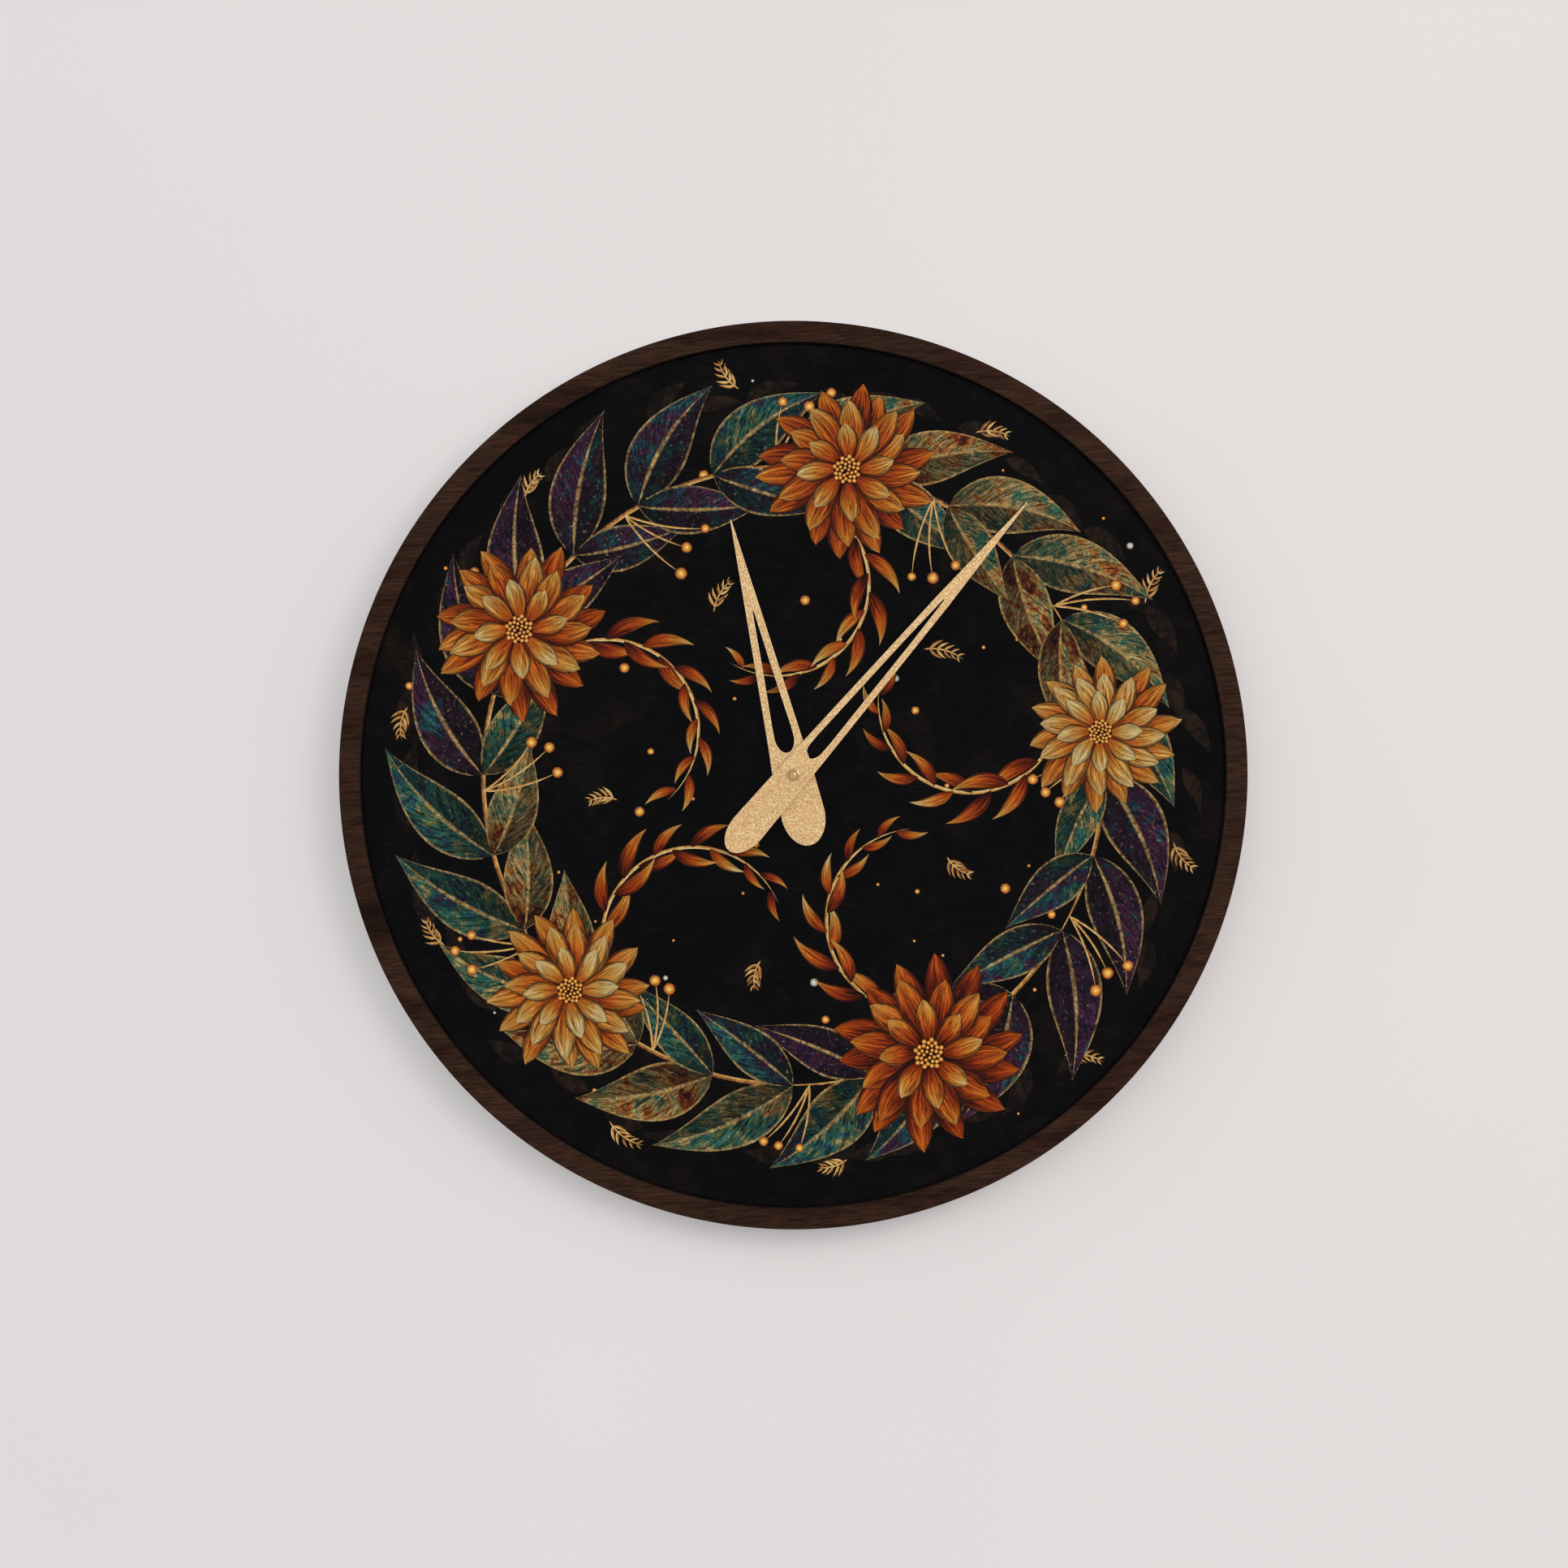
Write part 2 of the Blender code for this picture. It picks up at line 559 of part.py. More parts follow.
def minute_arbor():
    """Arbor with the clutch collar, the cannon leaves, the flats and the threaded tip."""
    bm = bmesh.new()
    add_turned(bm, [(0, collar_level), (COLLAR_RADIUS, collar_level),
                    (COLLAR_RADIUS, collar_level + COLLAR_THICKNESS),
                    (MINUTE_ARBOR_RADIUS, collar_level + COLLAR_THICKNESS),
                    (MINUTE_ARBOR_RADIUS, arbor_shoulder), (0, arbor_shoulder)], SMALL_POINTS)
    made = piece("minute_arbor", bm, "plated_steel")
    bm = bmesh.new()
    leaves_low = middle_front + RUNNING_GAP * 2
    leaves_high = motion_level + MOTION_WHEEL_THICKNESS + RUNNING_GAP
    add_prism(bm, [gear_outline(CANNON_LEAVES, cannon_module, 0)], leaves_low, leaves_high)
    combine(made, "cannon_leaves", bm, "UNION")
    bm = bmesh.new()
    flats = flatted_outline(MINUTE_ARBOR_RADIUS, MINUTE_ARBOR_FLAT)
    turned_flats = -math.radians(MINUTE_HAND["clockwise_degrees"])
    loop = [(x * math.cos(turned_flats) - y * math.sin(turned_flats),
             x * math.sin(turned_flats) + y * math.cos(turned_flats)) for x, y in flats]
    add_prism(bm, [loop], arbor_shoulder - SEAT_GAP, cap_level - RUNNING_GAP)
    combine(made, "arbor_flats", bm, "UNION")
    bm = bmesh.new()
    add_cylinder(bm, THREAD_TIP_RADIUS, arbor_shoulder, thread_front, SMALL_POINTS)
    combine(made, "threaded_tip", bm, "UNION")
    bm = bmesh.new()
    bore_end = centre_level + WHEEL_THICKNESS
    add_cylinder(bm, pivot_hole, collar_level - SEAT_GAP, bore_end, PIVOT_POINTS)
    combine(made, "seconds_pivot_bore", bm, "DIFFERENCE")


def wheel_loops(teeth, module, phase, bore=0.0):
    """Toothed outline, its lightening holes and its bore."""
    loops = [gear_outline(teeth, module, phase)]
    root = module * (teeth / 2 - DEDENDUM)
    for i in range(LIGHTENING_HOLES):
        place = step(CENTRE, root * LIGHTENING_PLACE, 2 * math.pi * (i + 0.5) / LIGHTENING_HOLES)
        loops.append(circle(root * LIGHTENING_RADIUS, LIGHTENING_POINTS, place))
    if bore:
        loops.append(circle(bore, SMALL_POINTS))
    return loops


def arbor_wheel(name, place, wheel, pinion, arbor, pivots):
    """A wheel with its pinion on one arbor; each is (teeth, module, phase, low, high)."""
    bm = bmesh.new()
    teeth, module, phase, low, high = wheel
    add_prism(bm, wheel_loops(teeth, module, phase), low, high)
    made = piece(name, bm, "moulded_white_acetal", place=(*place, 0))
    bm = bmesh.new()
    teeth, module, phase, low, high = pinion
    add_prism(bm, [gear_outline(teeth, module, phase)], low, high)
    combine(made, name + "_leaves", bm, "UNION", (*place, 0))
    bm = bmesh.new()
    rear_pivot, front_pivot = pivots
    add_turned(bm, [(0, rear_pivot), (PIVOT_RADIUS, rear_pivot), (PIVOT_RADIUS, arbor[0]),
                    (ARBOR_RADIUS, arbor[0]), (ARBOR_RADIUS, arbor[1]),
                    (PIVOT_RADIUS, arbor[1]), (PIVOT_RADIUS, front_pivot), (0, front_pivot)],
               PIVOT_POINTS)
    combine(made, name + "_arbor", bm, "UNION", (*place, 0))
    return made


def going_train():
    """Intermediate, seconds, third and centre wheels, in mesh at rest."""
    rear_pivot = COVER_THICKNESS - RUNNING_GAP
    front_pivot = middle_front - RUNNING_GAP
    arbor_rear = boss_top + RUNNING_GAP
    arbor_front = middle_level - RUNNING_GAP
    half_turn = math.pi
    overlap = WHEEL_THICKNESS / 2
    phase = meshing_phase(0, ROTOR_TEETH, ROTOR_DIRECTION + half_turn, INTERMEDIATE_TEETH)
    arbor_wheel(
        "intermediate_wheel", intermediate_place,
        (INTERMEDIATE_TEETH, rotor_module, phase, intermediate_level,
         intermediate_level + WHEEL_THICKNESS),
        (INTERMEDIATE_LEAVES, seconds_module, 0, intermediate_level + overlap,
         seconds_level + WHEEL_THICKNESS + RUNNING_GAP * 2),
        (arbor_rear, arbor_front), (rear_pivot, front_pivot))
    phase = meshing_phase(0, INTERMEDIATE_LEAVES, INTERMEDIATE_DIRECTION + half_turn, SECONDS_TEETH)
    arbor_wheel(
        "seconds_wheel", CENTRE,
        (SECONDS_TEETH, seconds_module, phase, seconds_level, seconds_level + WHEEL_THICKNESS),
        (SECONDS_LEAVES, third_module, 0, seconds_level + overlap,
         third_level + WHEEL_THICKNESS + RUNNING_GAP * 2),
        (arbor_rear, collar_level - RUNNING_GAP), (rear_pivot, centre_level + overlap))
    phase = meshing_phase(0, SECONDS_LEAVES, THIRD_DIRECTION, THIRD_TEETH)
    arbor_wheel(
        "third_wheel", third_place,
        (THIRD_TEETH, third_module, phase, third_level, third_level + WHEEL_THICKNESS),
        (THIRD_LEAVES, centre_module, 0, third_level + overlap,
         centre_level + WHEEL_THICKNESS + RUNNING_GAP * 2),
        (arbor_rear, arbor_front), (rear_pivot, front_pivot))
    phase = meshing_phase(0, THIRD_LEAVES, THIRD_DIRECTION + half_turn, CENTRE_TEETH)
    bm = bmesh.new()
    loops = wheel_loops(CENTRE_TEETH, centre_module, phase, MINUTE_ARBOR_RADIUS + RUNNING_GAP)
    add_prism(bm, loops, centre_level, centre_level + WHEEL_THICKNESS)
    piece("centre_wheel", bm, "moulded_white_acetal")
    bm = bmesh.new()
    lobes = [step(CENTRE, CLUTCH_RADIUS - CLUTCH_LOBE_DEPTH * (1 - math.cos(CLUTCH_LOBES * turn)), turn)
             for turn in [2 * math.pi * i / MEDIUM_POINTS for i in range(MEDIUM_POINTS)]]
    bore = circle(MINUTE_ARBOR_RADIUS + RUNNING_GAP, SMALL_POINTS)
    add_prism(bm, [lobes, bore], clutch_level, clutch_level + CLUTCH_THICKNESS)
    piece("clutch_spring", bm, "spring_bronze")


def motion_work():
    """Motion wheel, hour wheel with its tube, and the setting pinion."""
    motion_phase = meshing_phase(0, CANNON_LEAVES, MOTION_DIRECTION, MOTION_TEETH)
    motion_front = motion_level + MOTION_WHEEL_THICKNESS
    hour_front = hour_level + MOTION_WHEEL_THICKNESS
    pivot_front = plate_inside - RUNNING_GAP
    boss_low = plate_inside - PIVOT_BOSS_HEIGHT
    arbor_wheel(
        "motion_wheel", motion_place,
        (MOTION_TEETH, cannon_module, motion_phase, motion_level, motion_front),
        (MOTION_LEAVES, hour_module, 0, motion_level + MOTION_WHEEL_THICKNESS / 2,
         hour_front + RUNNING_GAP * 2),
        (middle_front + RUNNING_GAP, boss_low - RUNNING_GAP),
        (middle_level + RUNNING_GAP * 2, pivot_front))
    hour_phase = meshing_phase(0, MOTION_LEAVES, MOTION_DIRECTION + math.pi, HOUR_TEETH)
    bm = bmesh.new()
    bore = MINUTE_ARBOR_RADIUS + RUNNING_GAP
    loops = wheel_loops(HOUR_TEETH, hour_module, hour_phase, bore)
    add_prism(bm, loops, hour_level, hour_front)
    made = piece("hour_wheel", bm, "moulded_white_acetal")
    bm = bmesh.new()
    tube_rear = hour_level + MOTION_WHEEL_THICKNESS / 2
    add_ring(bm, bore, tube_radius, tube_rear, tube_front, SMALL_POINTS, SMALL_POINTS)
    combine(made, "hour_tube", bm, "UNION")
    phase = meshing_phase(motion_phase, MOTION_TEETH, SETTING_DIRECTION, SETTING_LEAVES)
    bm = bmesh.new()
    leaves = gear_outline(SETTING_LEAVES, cannon_module, phase)
    add_prism(bm, [leaves], middle_front + RUNNING_GAP * 2, motion_front + RUNNING_GAP)
    made = piece("setting_pinion", bm, "moulded_white_acetal", place=(*setting_place, 0))
    bm = bmesh.new()
    shaft_rear = KNOB_INSET + KNOB_THICKNESS / 2
    add_cylinder(bm, SETTING_SHAFT_RADIUS, shaft_rear, pivot_front, PIVOT_POINTS)
    combine(made, "setting_shaft", bm, "UNION", (*setting_place, 0))


def setting_knob():
    """Ribbed knob, recessed in the back cover."""
    outline = []
    for rib in range(KNOB_RIBS * 2):
        radius = KNOB_RADIUS - KNOB_RIB_DEPTH * (rib % 2)
        outline.append(step(CENTRE, radius, math.pi * rib / KNOB_RIBS))
    bm = bmesh.new()
    add_prism(bm, [outline], KNOB_INSET, KNOB_INSET + KNOB_THICKNESS)
    made = piece("setting_knob", bm, "moulded_black_abs", place=(*setting_place, 0))
    bm = bmesh.new()
    bore_low = KNOB_INSET + KNOB_THICKNESS / 2 - RUNNING_GAP
    bore_high = KNOB_INSET + KNOB_THICKNESS + SEAT_GAP
    add_cylinder(bm, shaft_hole, bore_low, bore_high, SMALL_POINTS)
    combine(made, "knob_bore", bm, "DIFFERENCE", (*setting_place, 0))


def add_post(bm, place, shoulder, tip, neck_radius):
    """A moulded post on the front plate, with a neck beyond its shoulder."""
    root = plate_inside + CASE_WALL / 2
    add_turned(bm, [(0, tip), (neck_radius, tip), (neck_radius, shoulder),
                    (POST_RADIUS, shoulder), (POST_RADIUS, root), (0, root)], PIVOT_POINTS, place)


def movement_case():
    """Moulded shell: gear bay, battery bay, posts, latch windows and hanger."""
    outer = rounded_outline(bay_left - CASE_WALL, bay_right + CASE_WALL,
                            battery_bay_low - CASE_WALL, gear_bay_above + CASE_WALL, CASE_CORNER)
    bm = bmesh.new()
    add_prism(bm, [outer], 0, case_depth)
    made = piece("movement_case", bm, "moulded_black_abs")

    bm = bmesh.new()
    past_back = -SEAT_GAP
    add_box(bm, bay_left, bay_right, -GEAR_BAY_BELOW, gear_bay_above, past_back, plate_inside)
    add_box(bm, bay_left, bay_right, battery_bay_low, partition_low, past_back, plate_inside)
    combine(made, "bays", bm, "DIFFERENCE")

    bm = bmesh.new()
    for place in plate_posts:
        add_post(bm, place, middle_front + SEAT_GAP, COVER_THICKNESS + SEAT_GAP, POST_NECK_RADIUS)
    for place in board_posts:
        add_post(bm, place, BOARD_LEVEL + BOARD_THICKNESS + SEAT_GAP, BOARD_LEVEL - SEAT_GAP, PEG_RADIUS)
    for place in stator_posts:
        peg_end = stator_level - SEAT_GAP
        add_post(bm, place, core_level, peg_end, PEG_RADIUS)
    for place in cover_posts:
        add_cylinder(bm, POST_NECK_RADIUS, COVER_THICKNESS + SEAT_GAP, plate_inside + CASE_WALL / 2,
                     SMALL_POINTS, place)
    boss_low = plate_inside - PIVOT_BOSS_HEIGHT
    boss_root = plate_inside + CASE_WALL / 2
    add_cylinder(bm, PIVOT_BOSS_RADIUS, boss_low, boss_root, SMALL_POINTS, motion_place)
    add_cylinder(bm, shaft_hole + TUBE_WALL, boss_low, boss_root, SMALL_POINTS, setting_place)
    combine(made, "posts_and_bosses", bm, "UNION")

    bm = bmesh.new()
    hanger_low = gear_bay_above + CASE_WALL / 2
    hanger_top = gear_bay_above + CASE_WALL + HANGER_HEIGHT
    half = HANGER_WIDTH / 2
    tab = rounded_outline(-half, half, hanger_low - CASE_CORNER, hanger_top, HANGER_CORNER)
    tab = [(x, max(y, hanger_low)) for x, y in tab if y > hanger_low - CASE_CORNER / 2]
    add_prism(bm, [tab], 0, HANGER_THICKNESS)
    combine(made, "hanger_tab", bm, "UNION")

    bm = bmesh.new()
    slot_low = gear_bay_above + CASE_WALL + HANGER_SLOT_LIFT
    slot_half = HANGER_SLOT_WIDTH / 2
    slot = rounded_outline(-slot_half, slot_half, slot_low, slot_low + HANGER_SLOT_HEIGHT,
                           HANGER_SLOT_HEIGHT / 2 - SEAT_GAP)
    add_prism(bm, [slot], past_back, HANGER_THICKNESS + SEAT_GAP)
    cut_through = case_depth + SEAT_GAP
    add_cylinder(bm, bushing_hole, plate_inside - CASE_WALL, cut_through, SMALL_POINTS)
    add_cylinder(bm, pivot_hole, boss_low - CASE_WALL, plate_inside, PIVOT_POINTS, motion_place)
    add_cylinder(bm, shaft_hole, boss_low - CASE_WALL, plate_inside, SMALL_POINTS, setting_place)
    combine(made, "round_openings", bm, "DIFFERENCE")

    bm = bmesh.new()
    notch_width = CONTACT_THICKNESS + 2 * SEAT_GAP
    contact_end = BOARD_LEVEL + CONTACT_WIDTH + SEAT_GAP
    for left, right in ((bay_left, bay_left + notch_width), (bay_right - notch_width, bay_right)):
        add_box(bm, left, right, partition_low - SEAT_GAP, -GEAR_BAY_BELOW + SEAT_GAP,
                past_back, contact_end)
    for side in (-1, 1):
        inner = side * (case_half_width - SEAT_GAP)
        outer = side * (case_half_width + CASE_WALL + SEAT_GAP)
        for height in LATCH_HEIGHTS:
            reach = LATCH_WIDTH / 2 + SEAT_GAP
            low = COVER_THICKNESS + LATCH_REACH - 3 * LATCH_NUB
            high = COVER_THICKNESS + LATCH_REACH + SEAT_GAP
            add_box(bm, min(inner, outer), max(inner, outer), height - reach, height + reach, low, high)
    combine(made, "contact_notches_and_windows", bm, "DIFFERENCE")

    bm = bmesh.new()
    wall_low = battery_bay_low - CASE_WALL - SEAT_GAP
    wall_high = battery_bay_low + SEAT_GAP
    rim = circle(FINGER_NOTCH_RADIUS, MEDIUM_POINTS)
    notch = [(x, max(z, past_back)) for x, z in rim if z > -SEAT_GAP]
    first = [bm.verts.new((x, wall_low, z)) for x, z in notch]
    face = bm.faces.new(first)
    grown = bmesh.ops.extrude_face_region(bm, geom=[face])
    moved = [item for item in grown["geom"] if isinstance(item, bmesh.types.BMVert)]
    bmesh.ops.translate(bm, verts=moved, vec=(0, wall_high - wall_low, 0))
    combine(made, "finger_notch", bm, "DIFFERENCE")


def movement_cover():
    """Clip-in back cover with latches, pivot bosses and the knob's recess."""
    bm = bmesh.new()
    add_box(bm, bay_left + SEAT_GAP, bay_right - SEAT_GAP,
            -GEAR_BAY_BELOW + SEAT_GAP, gear_bay_above - SEAT_GAP, 0, COVER_THICKNESS)
    made = piece("movement_cover", bm, "moulded_black_abs")

    well_radius = KNOB_RADIUS + KNOB_SPACE
    well_bottom = KNOB_INSET + KNOB_THICKNESS + SEAT_GAP
    bm = bmesh.new()
    root = COVER_THICKNESS / 2
    well_end = well_bottom + WELL_FLOOR
    add_cylinder(bm, well_radius + WELL_WALL, root, well_end, MEDIUM_POINTS, setting_place)
    for place in (CENTRE, third_place, intermediate_place, rotor_place):
        add_cylinder(bm, PIVOT_BOSS_RADIUS, root, boss_top, PIVOT_POINTS, place)
    combine(made, "well_and_bosses", bm, "UNION")

    bm = bmesh.new()
    latch_end = COVER_THICKNESS + LATCH_REACH
    for side in (-1, 1):
        outer = side * (case_half_width - SEAT_GAP)
        inner = outer - side * LATCH_THICKNESS
        nub = outer + side * LATCH_NUB
        for height in LATCH_HEIGHTS:
            low, high = height - LATCH_WIDTH / 2, height + LATCH_WIDTH / 2
            add_latch(bm, inner, outer, nub, low, high, root, latch_end)
    combine(made, "latches", bm, "UNION")

    bm = bmesh.new()
    add_cylinder(bm, well_radius, -SEAT_GAP, well_bottom, MEDIUM_POINTS, setting_place)
    for place in (CENTRE, third_place, intermediate_place, rotor_place):
        hole_end = COVER_THICKNESS - 2 * RUNNING_GAP
        add_cylinder(bm, pivot_hole, hole_end, boss_top + SEAT_GAP, PIVOT_POINTS, place)
    combine(made, "well_and_pivot_holes", bm, "DIFFERENCE")
    bm = bmesh.new()
    add_cylinder(bm, shaft_hole, well_bottom - SEAT_GAP, well_end + SEAT_GAP, SMALL_POINTS, setting_place)
    combine(made, "setting_shaft_hole", bm, "DIFFERENCE")


def add_latch(bm, inner, outer, nub, low, high, root, end):
    """A springy tongue with a wedge-shaped nub near its end."""
    side_view = [(inner, root), (outer, root), (outer, end - 2 * LATCH_NUB),
                 (nub, end - 2 * LATCH_NUB + LATCH_NUB / 4), (nub, end - LATCH_NUB),
                 (outer, end), (inner, end)]
    face = bm.faces.new([bm.verts.new((x, low, z)) for x, z in side_view])
    grown = bmesh.ops.extrude_face_region(bm, geom=[face])
    moved = [item for item in grown["geom"] if isinstance(item, bmesh.types.BMVert)]
    bmesh.ops.translate(bm, verts=moved, vec=(0, high - low, 0))


def middle_plate():
    """Bearing plate on the posts, between the going train and the motion work."""
    outline = rounded_outline(plate_left, plate_right, plate_low, plate_top, POST_NECK_RADIUS / 2, 2)
    loops = [outline]
    loops += [circle(post_neck_hole, SMALL_POINTS, place) for place in plate_posts]
    loops += [circle(pivot_hole, PIVOT_POINTS, place)
              for place in (third_place, intermediate_place, rotor_place, motion_place)]
    loops.append(circle(MINUTE_ARBOR_RADIUS + RUNNING_GAP, SMALL_POINTS))
    loops.append(circle(shaft_hole, SMALL_POINTS, setting_place))
    bm = bmesh.new()
    add_prism(bm, loops, middle_level, middle_front)
    piece("middle_plate", bm, "moulded_black_abs")


def centre_fixing():
    """Threaded bushing, rubber gasket, washer and hex nut that clamp the dial."""
    bm = bmesh.new()
    flange_front = plate_inside - SEAT_GAP
    add_turned(bm, [(bushing_inner, flange_level), (BUSHING_FLANGE_RADIUS, flange_level),
                    (BUSHING_FLANGE_RADIUS, flange_front), (bushing_radius, flange_front),
                    (bushing_radius, bushing_front), (bushing_inner, bushing_front)], MEDIUM_POINTS)
    piece("threaded_bushing", bm, "turned_brass")
    bm = bmesh.new()
    gasket_front = gasket_level + GASKET_THICKNESS
    add_ring(bm, bushing_hole, GASKET_RADIUS, gasket_level, gasket_front, MEDIUM_POINTS, SMALL_POINTS)
    piece("rubber_gasket", bm, "black_rubber")
    bm = bmesh.new()
    washer_front = washer_level + WASHER_THICKNESS
    add_ring(bm, bushing_hole, WASHER_RADIUS, washer_level, washer_front, MEDIUM_POINTS, SMALL_POINTS)
    piece("dial_washer", bm, "turned_brass")
    bm = bmesh.new()
    hexagon = circle(NUT_ACROSS_FLATS / 2 / math.cos(math.pi / NUT_SIDES), NUT_SIDES)
    add_prism(bm, [hexagon, circle(bushing_hole, SMALL_POINTS)], nut_level, nut_level + NUT_THICKNESS)
    piece("hex_nut", bm, "turned_brass")


def stepping_motor():
    """Rotor, stator plate, core, bobbin and winding."""
    pinion_low = intermediate_level - RUNNING_GAP * 2
    pinion_high = intermediate_level + WHEEL_THICKNESS + RUNNING_GAP * 2
    magnet_low = stator_level + STATOR_THICKNESS / 2 - MAGNET_THICKNESS / 2
    magnet_high = magnet_low + MAGNET_THICKNESS
    bm = bmesh.new()
    add_prism(bm, [gear_outline(ROTOR_TEETH, rotor_module, 0)], pinion_low, pinion_high)
    made = piece("rotor_pinion", bm, "moulded_white_acetal", place=(*rotor_place, 0))
    bm = bmesh.new()
    add_turned(bm, [(0, COVER_THICKNESS - RUNNING_GAP), (PIVOT_RADIUS, COVER_THICKNESS - RUNNING_GAP),
                    (PIVOT_RADIUS, boss_top + RUNNING_GAP), (ARBOR_RADIUS, boss_top + RUNNING_GAP),
                    (ARBOR_RADIUS, middle_level - RUNNING_GAP), (PIVOT_RADIUS, middle_level - RUNNING_GAP),
                    (PIVOT_RADIUS, middle_front - RUNNING_GAP), (0, middle_front - RUNNING_GAP)],
               PIVOT_POINTS)
    combine(made, "rotor_spindle", bm, "UNION", (*rotor_place, 0))
    bm = bmesh.new()
    bore = ARBOR_RADIUS + RUNNING_GAP
    add_ring(bm, bore, MAGNET_RADIUS, magnet_low, magnet_high, SMALL_POINTS, PIVOT_POINTS)
    piece("rotor_magnet", bm, "sintered_ferrite", place=(*rotor_place, 0))

    hole_radius = MAGNET_RADIUS + MAGNET_GAP
    stator_front = stator_level + STATOR_THICKNESS
    bm = bmesh.new()
    left = left_lug_centre - LUG_WIDTH / 2
    right = right_lug_centre + LUG_WIDTH / 2
    lug_top = coil_height + CORE_WIDTH
    u_shape = [(left, stator_bar_low), (right, stator_bar_low), (right, lug_top),
               (right - LUG_WIDTH, lug_top), (right - LUG_WIDTH, stator_bar_top),
               (left + LUG_WIDTH, stator_bar_top), (left + LUG_WIDTH, lug_top), (left, lug_top)]
    add_prism(bm, [u_shape], stator_level, stator_front)
    made = piece("stator_plate", bm, "silicon_steel")
    bm = bmesh.new()
    add_cylinder(bm, hole_radius + STATOR_LAND, stator_level, stator_front, MEDIUM_POINTS, rotor_place)
    combine(made, "stator_eye", bm, "UNION")
    bm = bmesh.new()
    past_low = stator_level - SEAT_GAP
    past_high = stator_front + SEAT_GAP
    add_cylinder(bm, hole_radius, past_low, past_high, MEDIUM_POINTS, rotor_place)
    for place in stator_posts:
        add_cylinder(bm, peg_hole, past_low, past_high, PIVOT_POINTS, place)
    combine(made, "rotor_and_peg_holes", bm, "DIFFERENCE")
    bm = bmesh.new()
    for direction in STATOR_NOTCH_DIRECTIONS:
        notch = step(rotor_place, hole_radius, direction)
        add_cylinder(bm, STATOR_NOTCH_RADIUS, past_low, past_high, PIVOT_POINTS, notch)
    combine(made, "detent_notches", bm, "DIFFERENCE")

    bm = bmesh.new()
    core_low = coil_height - CORE_WIDTH / 2
    add_box(bm, left, right, core_low, core_low + CORE_WIDTH, core_level, core_level + CORE_THICKNESS)
    piece("coil_core", bm, "silicon_steel")
    coil_parts()


def coil_parts():
    """Bobbin and winding, modelled along their own axis and laid along X."""
    place = (COIL_CENTRE_X, coil_height, coil_level)
    turn = (0, math.pi / 2, 0)
    half_length = COIL_LENGTH / 2
    core = [CORE_THICKNESS / 2 + SEAT_GAP, CORE_WIDTH / 2 + SEAT_GAP]
    tube = [core[0] + BOBBIN_WALL, core[1] + BOBBIN_WALL]
    flange = [BOBBIN_FLANGE_DEPTH / 2, BOBBIN_FLANGE_WIDTH / 2]

    def section(half_sizes):
        return box_outline(-half_sizes[0], half_sizes[0], -half_sizes[1], half_sizes[1])

    bm = bmesh.new()
    inner_end = half_length - BOBBIN_FLANGE_THICKNESS
    add_prism(bm, [section(tube)], -inner_end - SEAT_GAP, inner_end + SEAT_GAP)
    made = piece("coil_bobbin", bm, "moulded_white_acetal", place, turn)
    bm = bmesh.new()
    add_prism(bm, [section(flange)], -half_length, -inner_end)
    add_prism(bm, [section(flange)], inner_end, half_length)
    combine(made, "bobbin_flanges", bm, "UNION", place, turn)
    bm = bmesh.new()
    add_prism(bm, [section(core)], -half_length - SEAT_GAP, half_length + SEAT_GAP)
    combine(made, "core_passage", bm, "DIFFERENCE", place, turn)
    bm = bmesh.new()
    wound = [flange[0] - WINDING_INSET, flange[1] - WINDING_INSET]
    outline = rounded_outline(-wound[0], wound[0], -wound[1], wound[1], wound[0] * WINDING_ROUNDING)
    hole = section([tube[0] + RUNNING_GAP, tube[1] + RUNNING_GAP])
    add_prism(bm, [outline, hole], -inner_end + SEAT_GAP, inner_end - SEAT_GAP)
    piece("coil_winding", bm, "enamelled_copper", place, turn)


def circuit():
    """Board on its pegs, with the resin-covered chip and the crystal's can."""
    bm = bmesh.new()
    holes = [circle(peg_hole, PIVOT_POINTS, place) for place in board_posts]
    outline = box_outline(board_left, board_right, board_low, BOARD_TOP)
    add_prism(bm, [outline] + holes, BOARD_LEVEL, BOARD_LEVEL + BOARD_THICKNESS)
    piece("circuit_board", bm, "fibre_board")
    surface = BOARD_LEVEL + BOARD_THICKNESS + RUNNING_GAP
    middle = (board_low + BOARD_TOP) / 2
    bm = bmesh.new()
    arc_points = 4
    dome = [(CHIP_RADIUS * math.cos(math.pi / 2 * i / arc_points),
             surface + CHIP_HEIGHT * math.sin(math.pi / 2 * i / arc_points)) for i in range(arc_points)]
    chip_place = (board_centre_x, middle - CHIP_RADIUS - SEAT_GAP)
    add_turned(bm, [(0, surface)] + dome + [(0, surface + CHIP_HEIGHT)], SMALL_POINTS)
    piece("circuit_chip", bm, "chip_resin", place=(*chip_place, 0))
    bm = bmesh.new()
    add_cylinder(bm, CRYSTAL_RADIUS, 0, CRYSTAL_LENGTH, PIVOT_POINTS)
    place = (board_centre_x, middle + SEAT_GAP * 2, surface + CRYSTAL_RADIUS)
    piece("quartz_crystal", bm, "plated_steel", place, (-math.pi / 2, 0, 0))


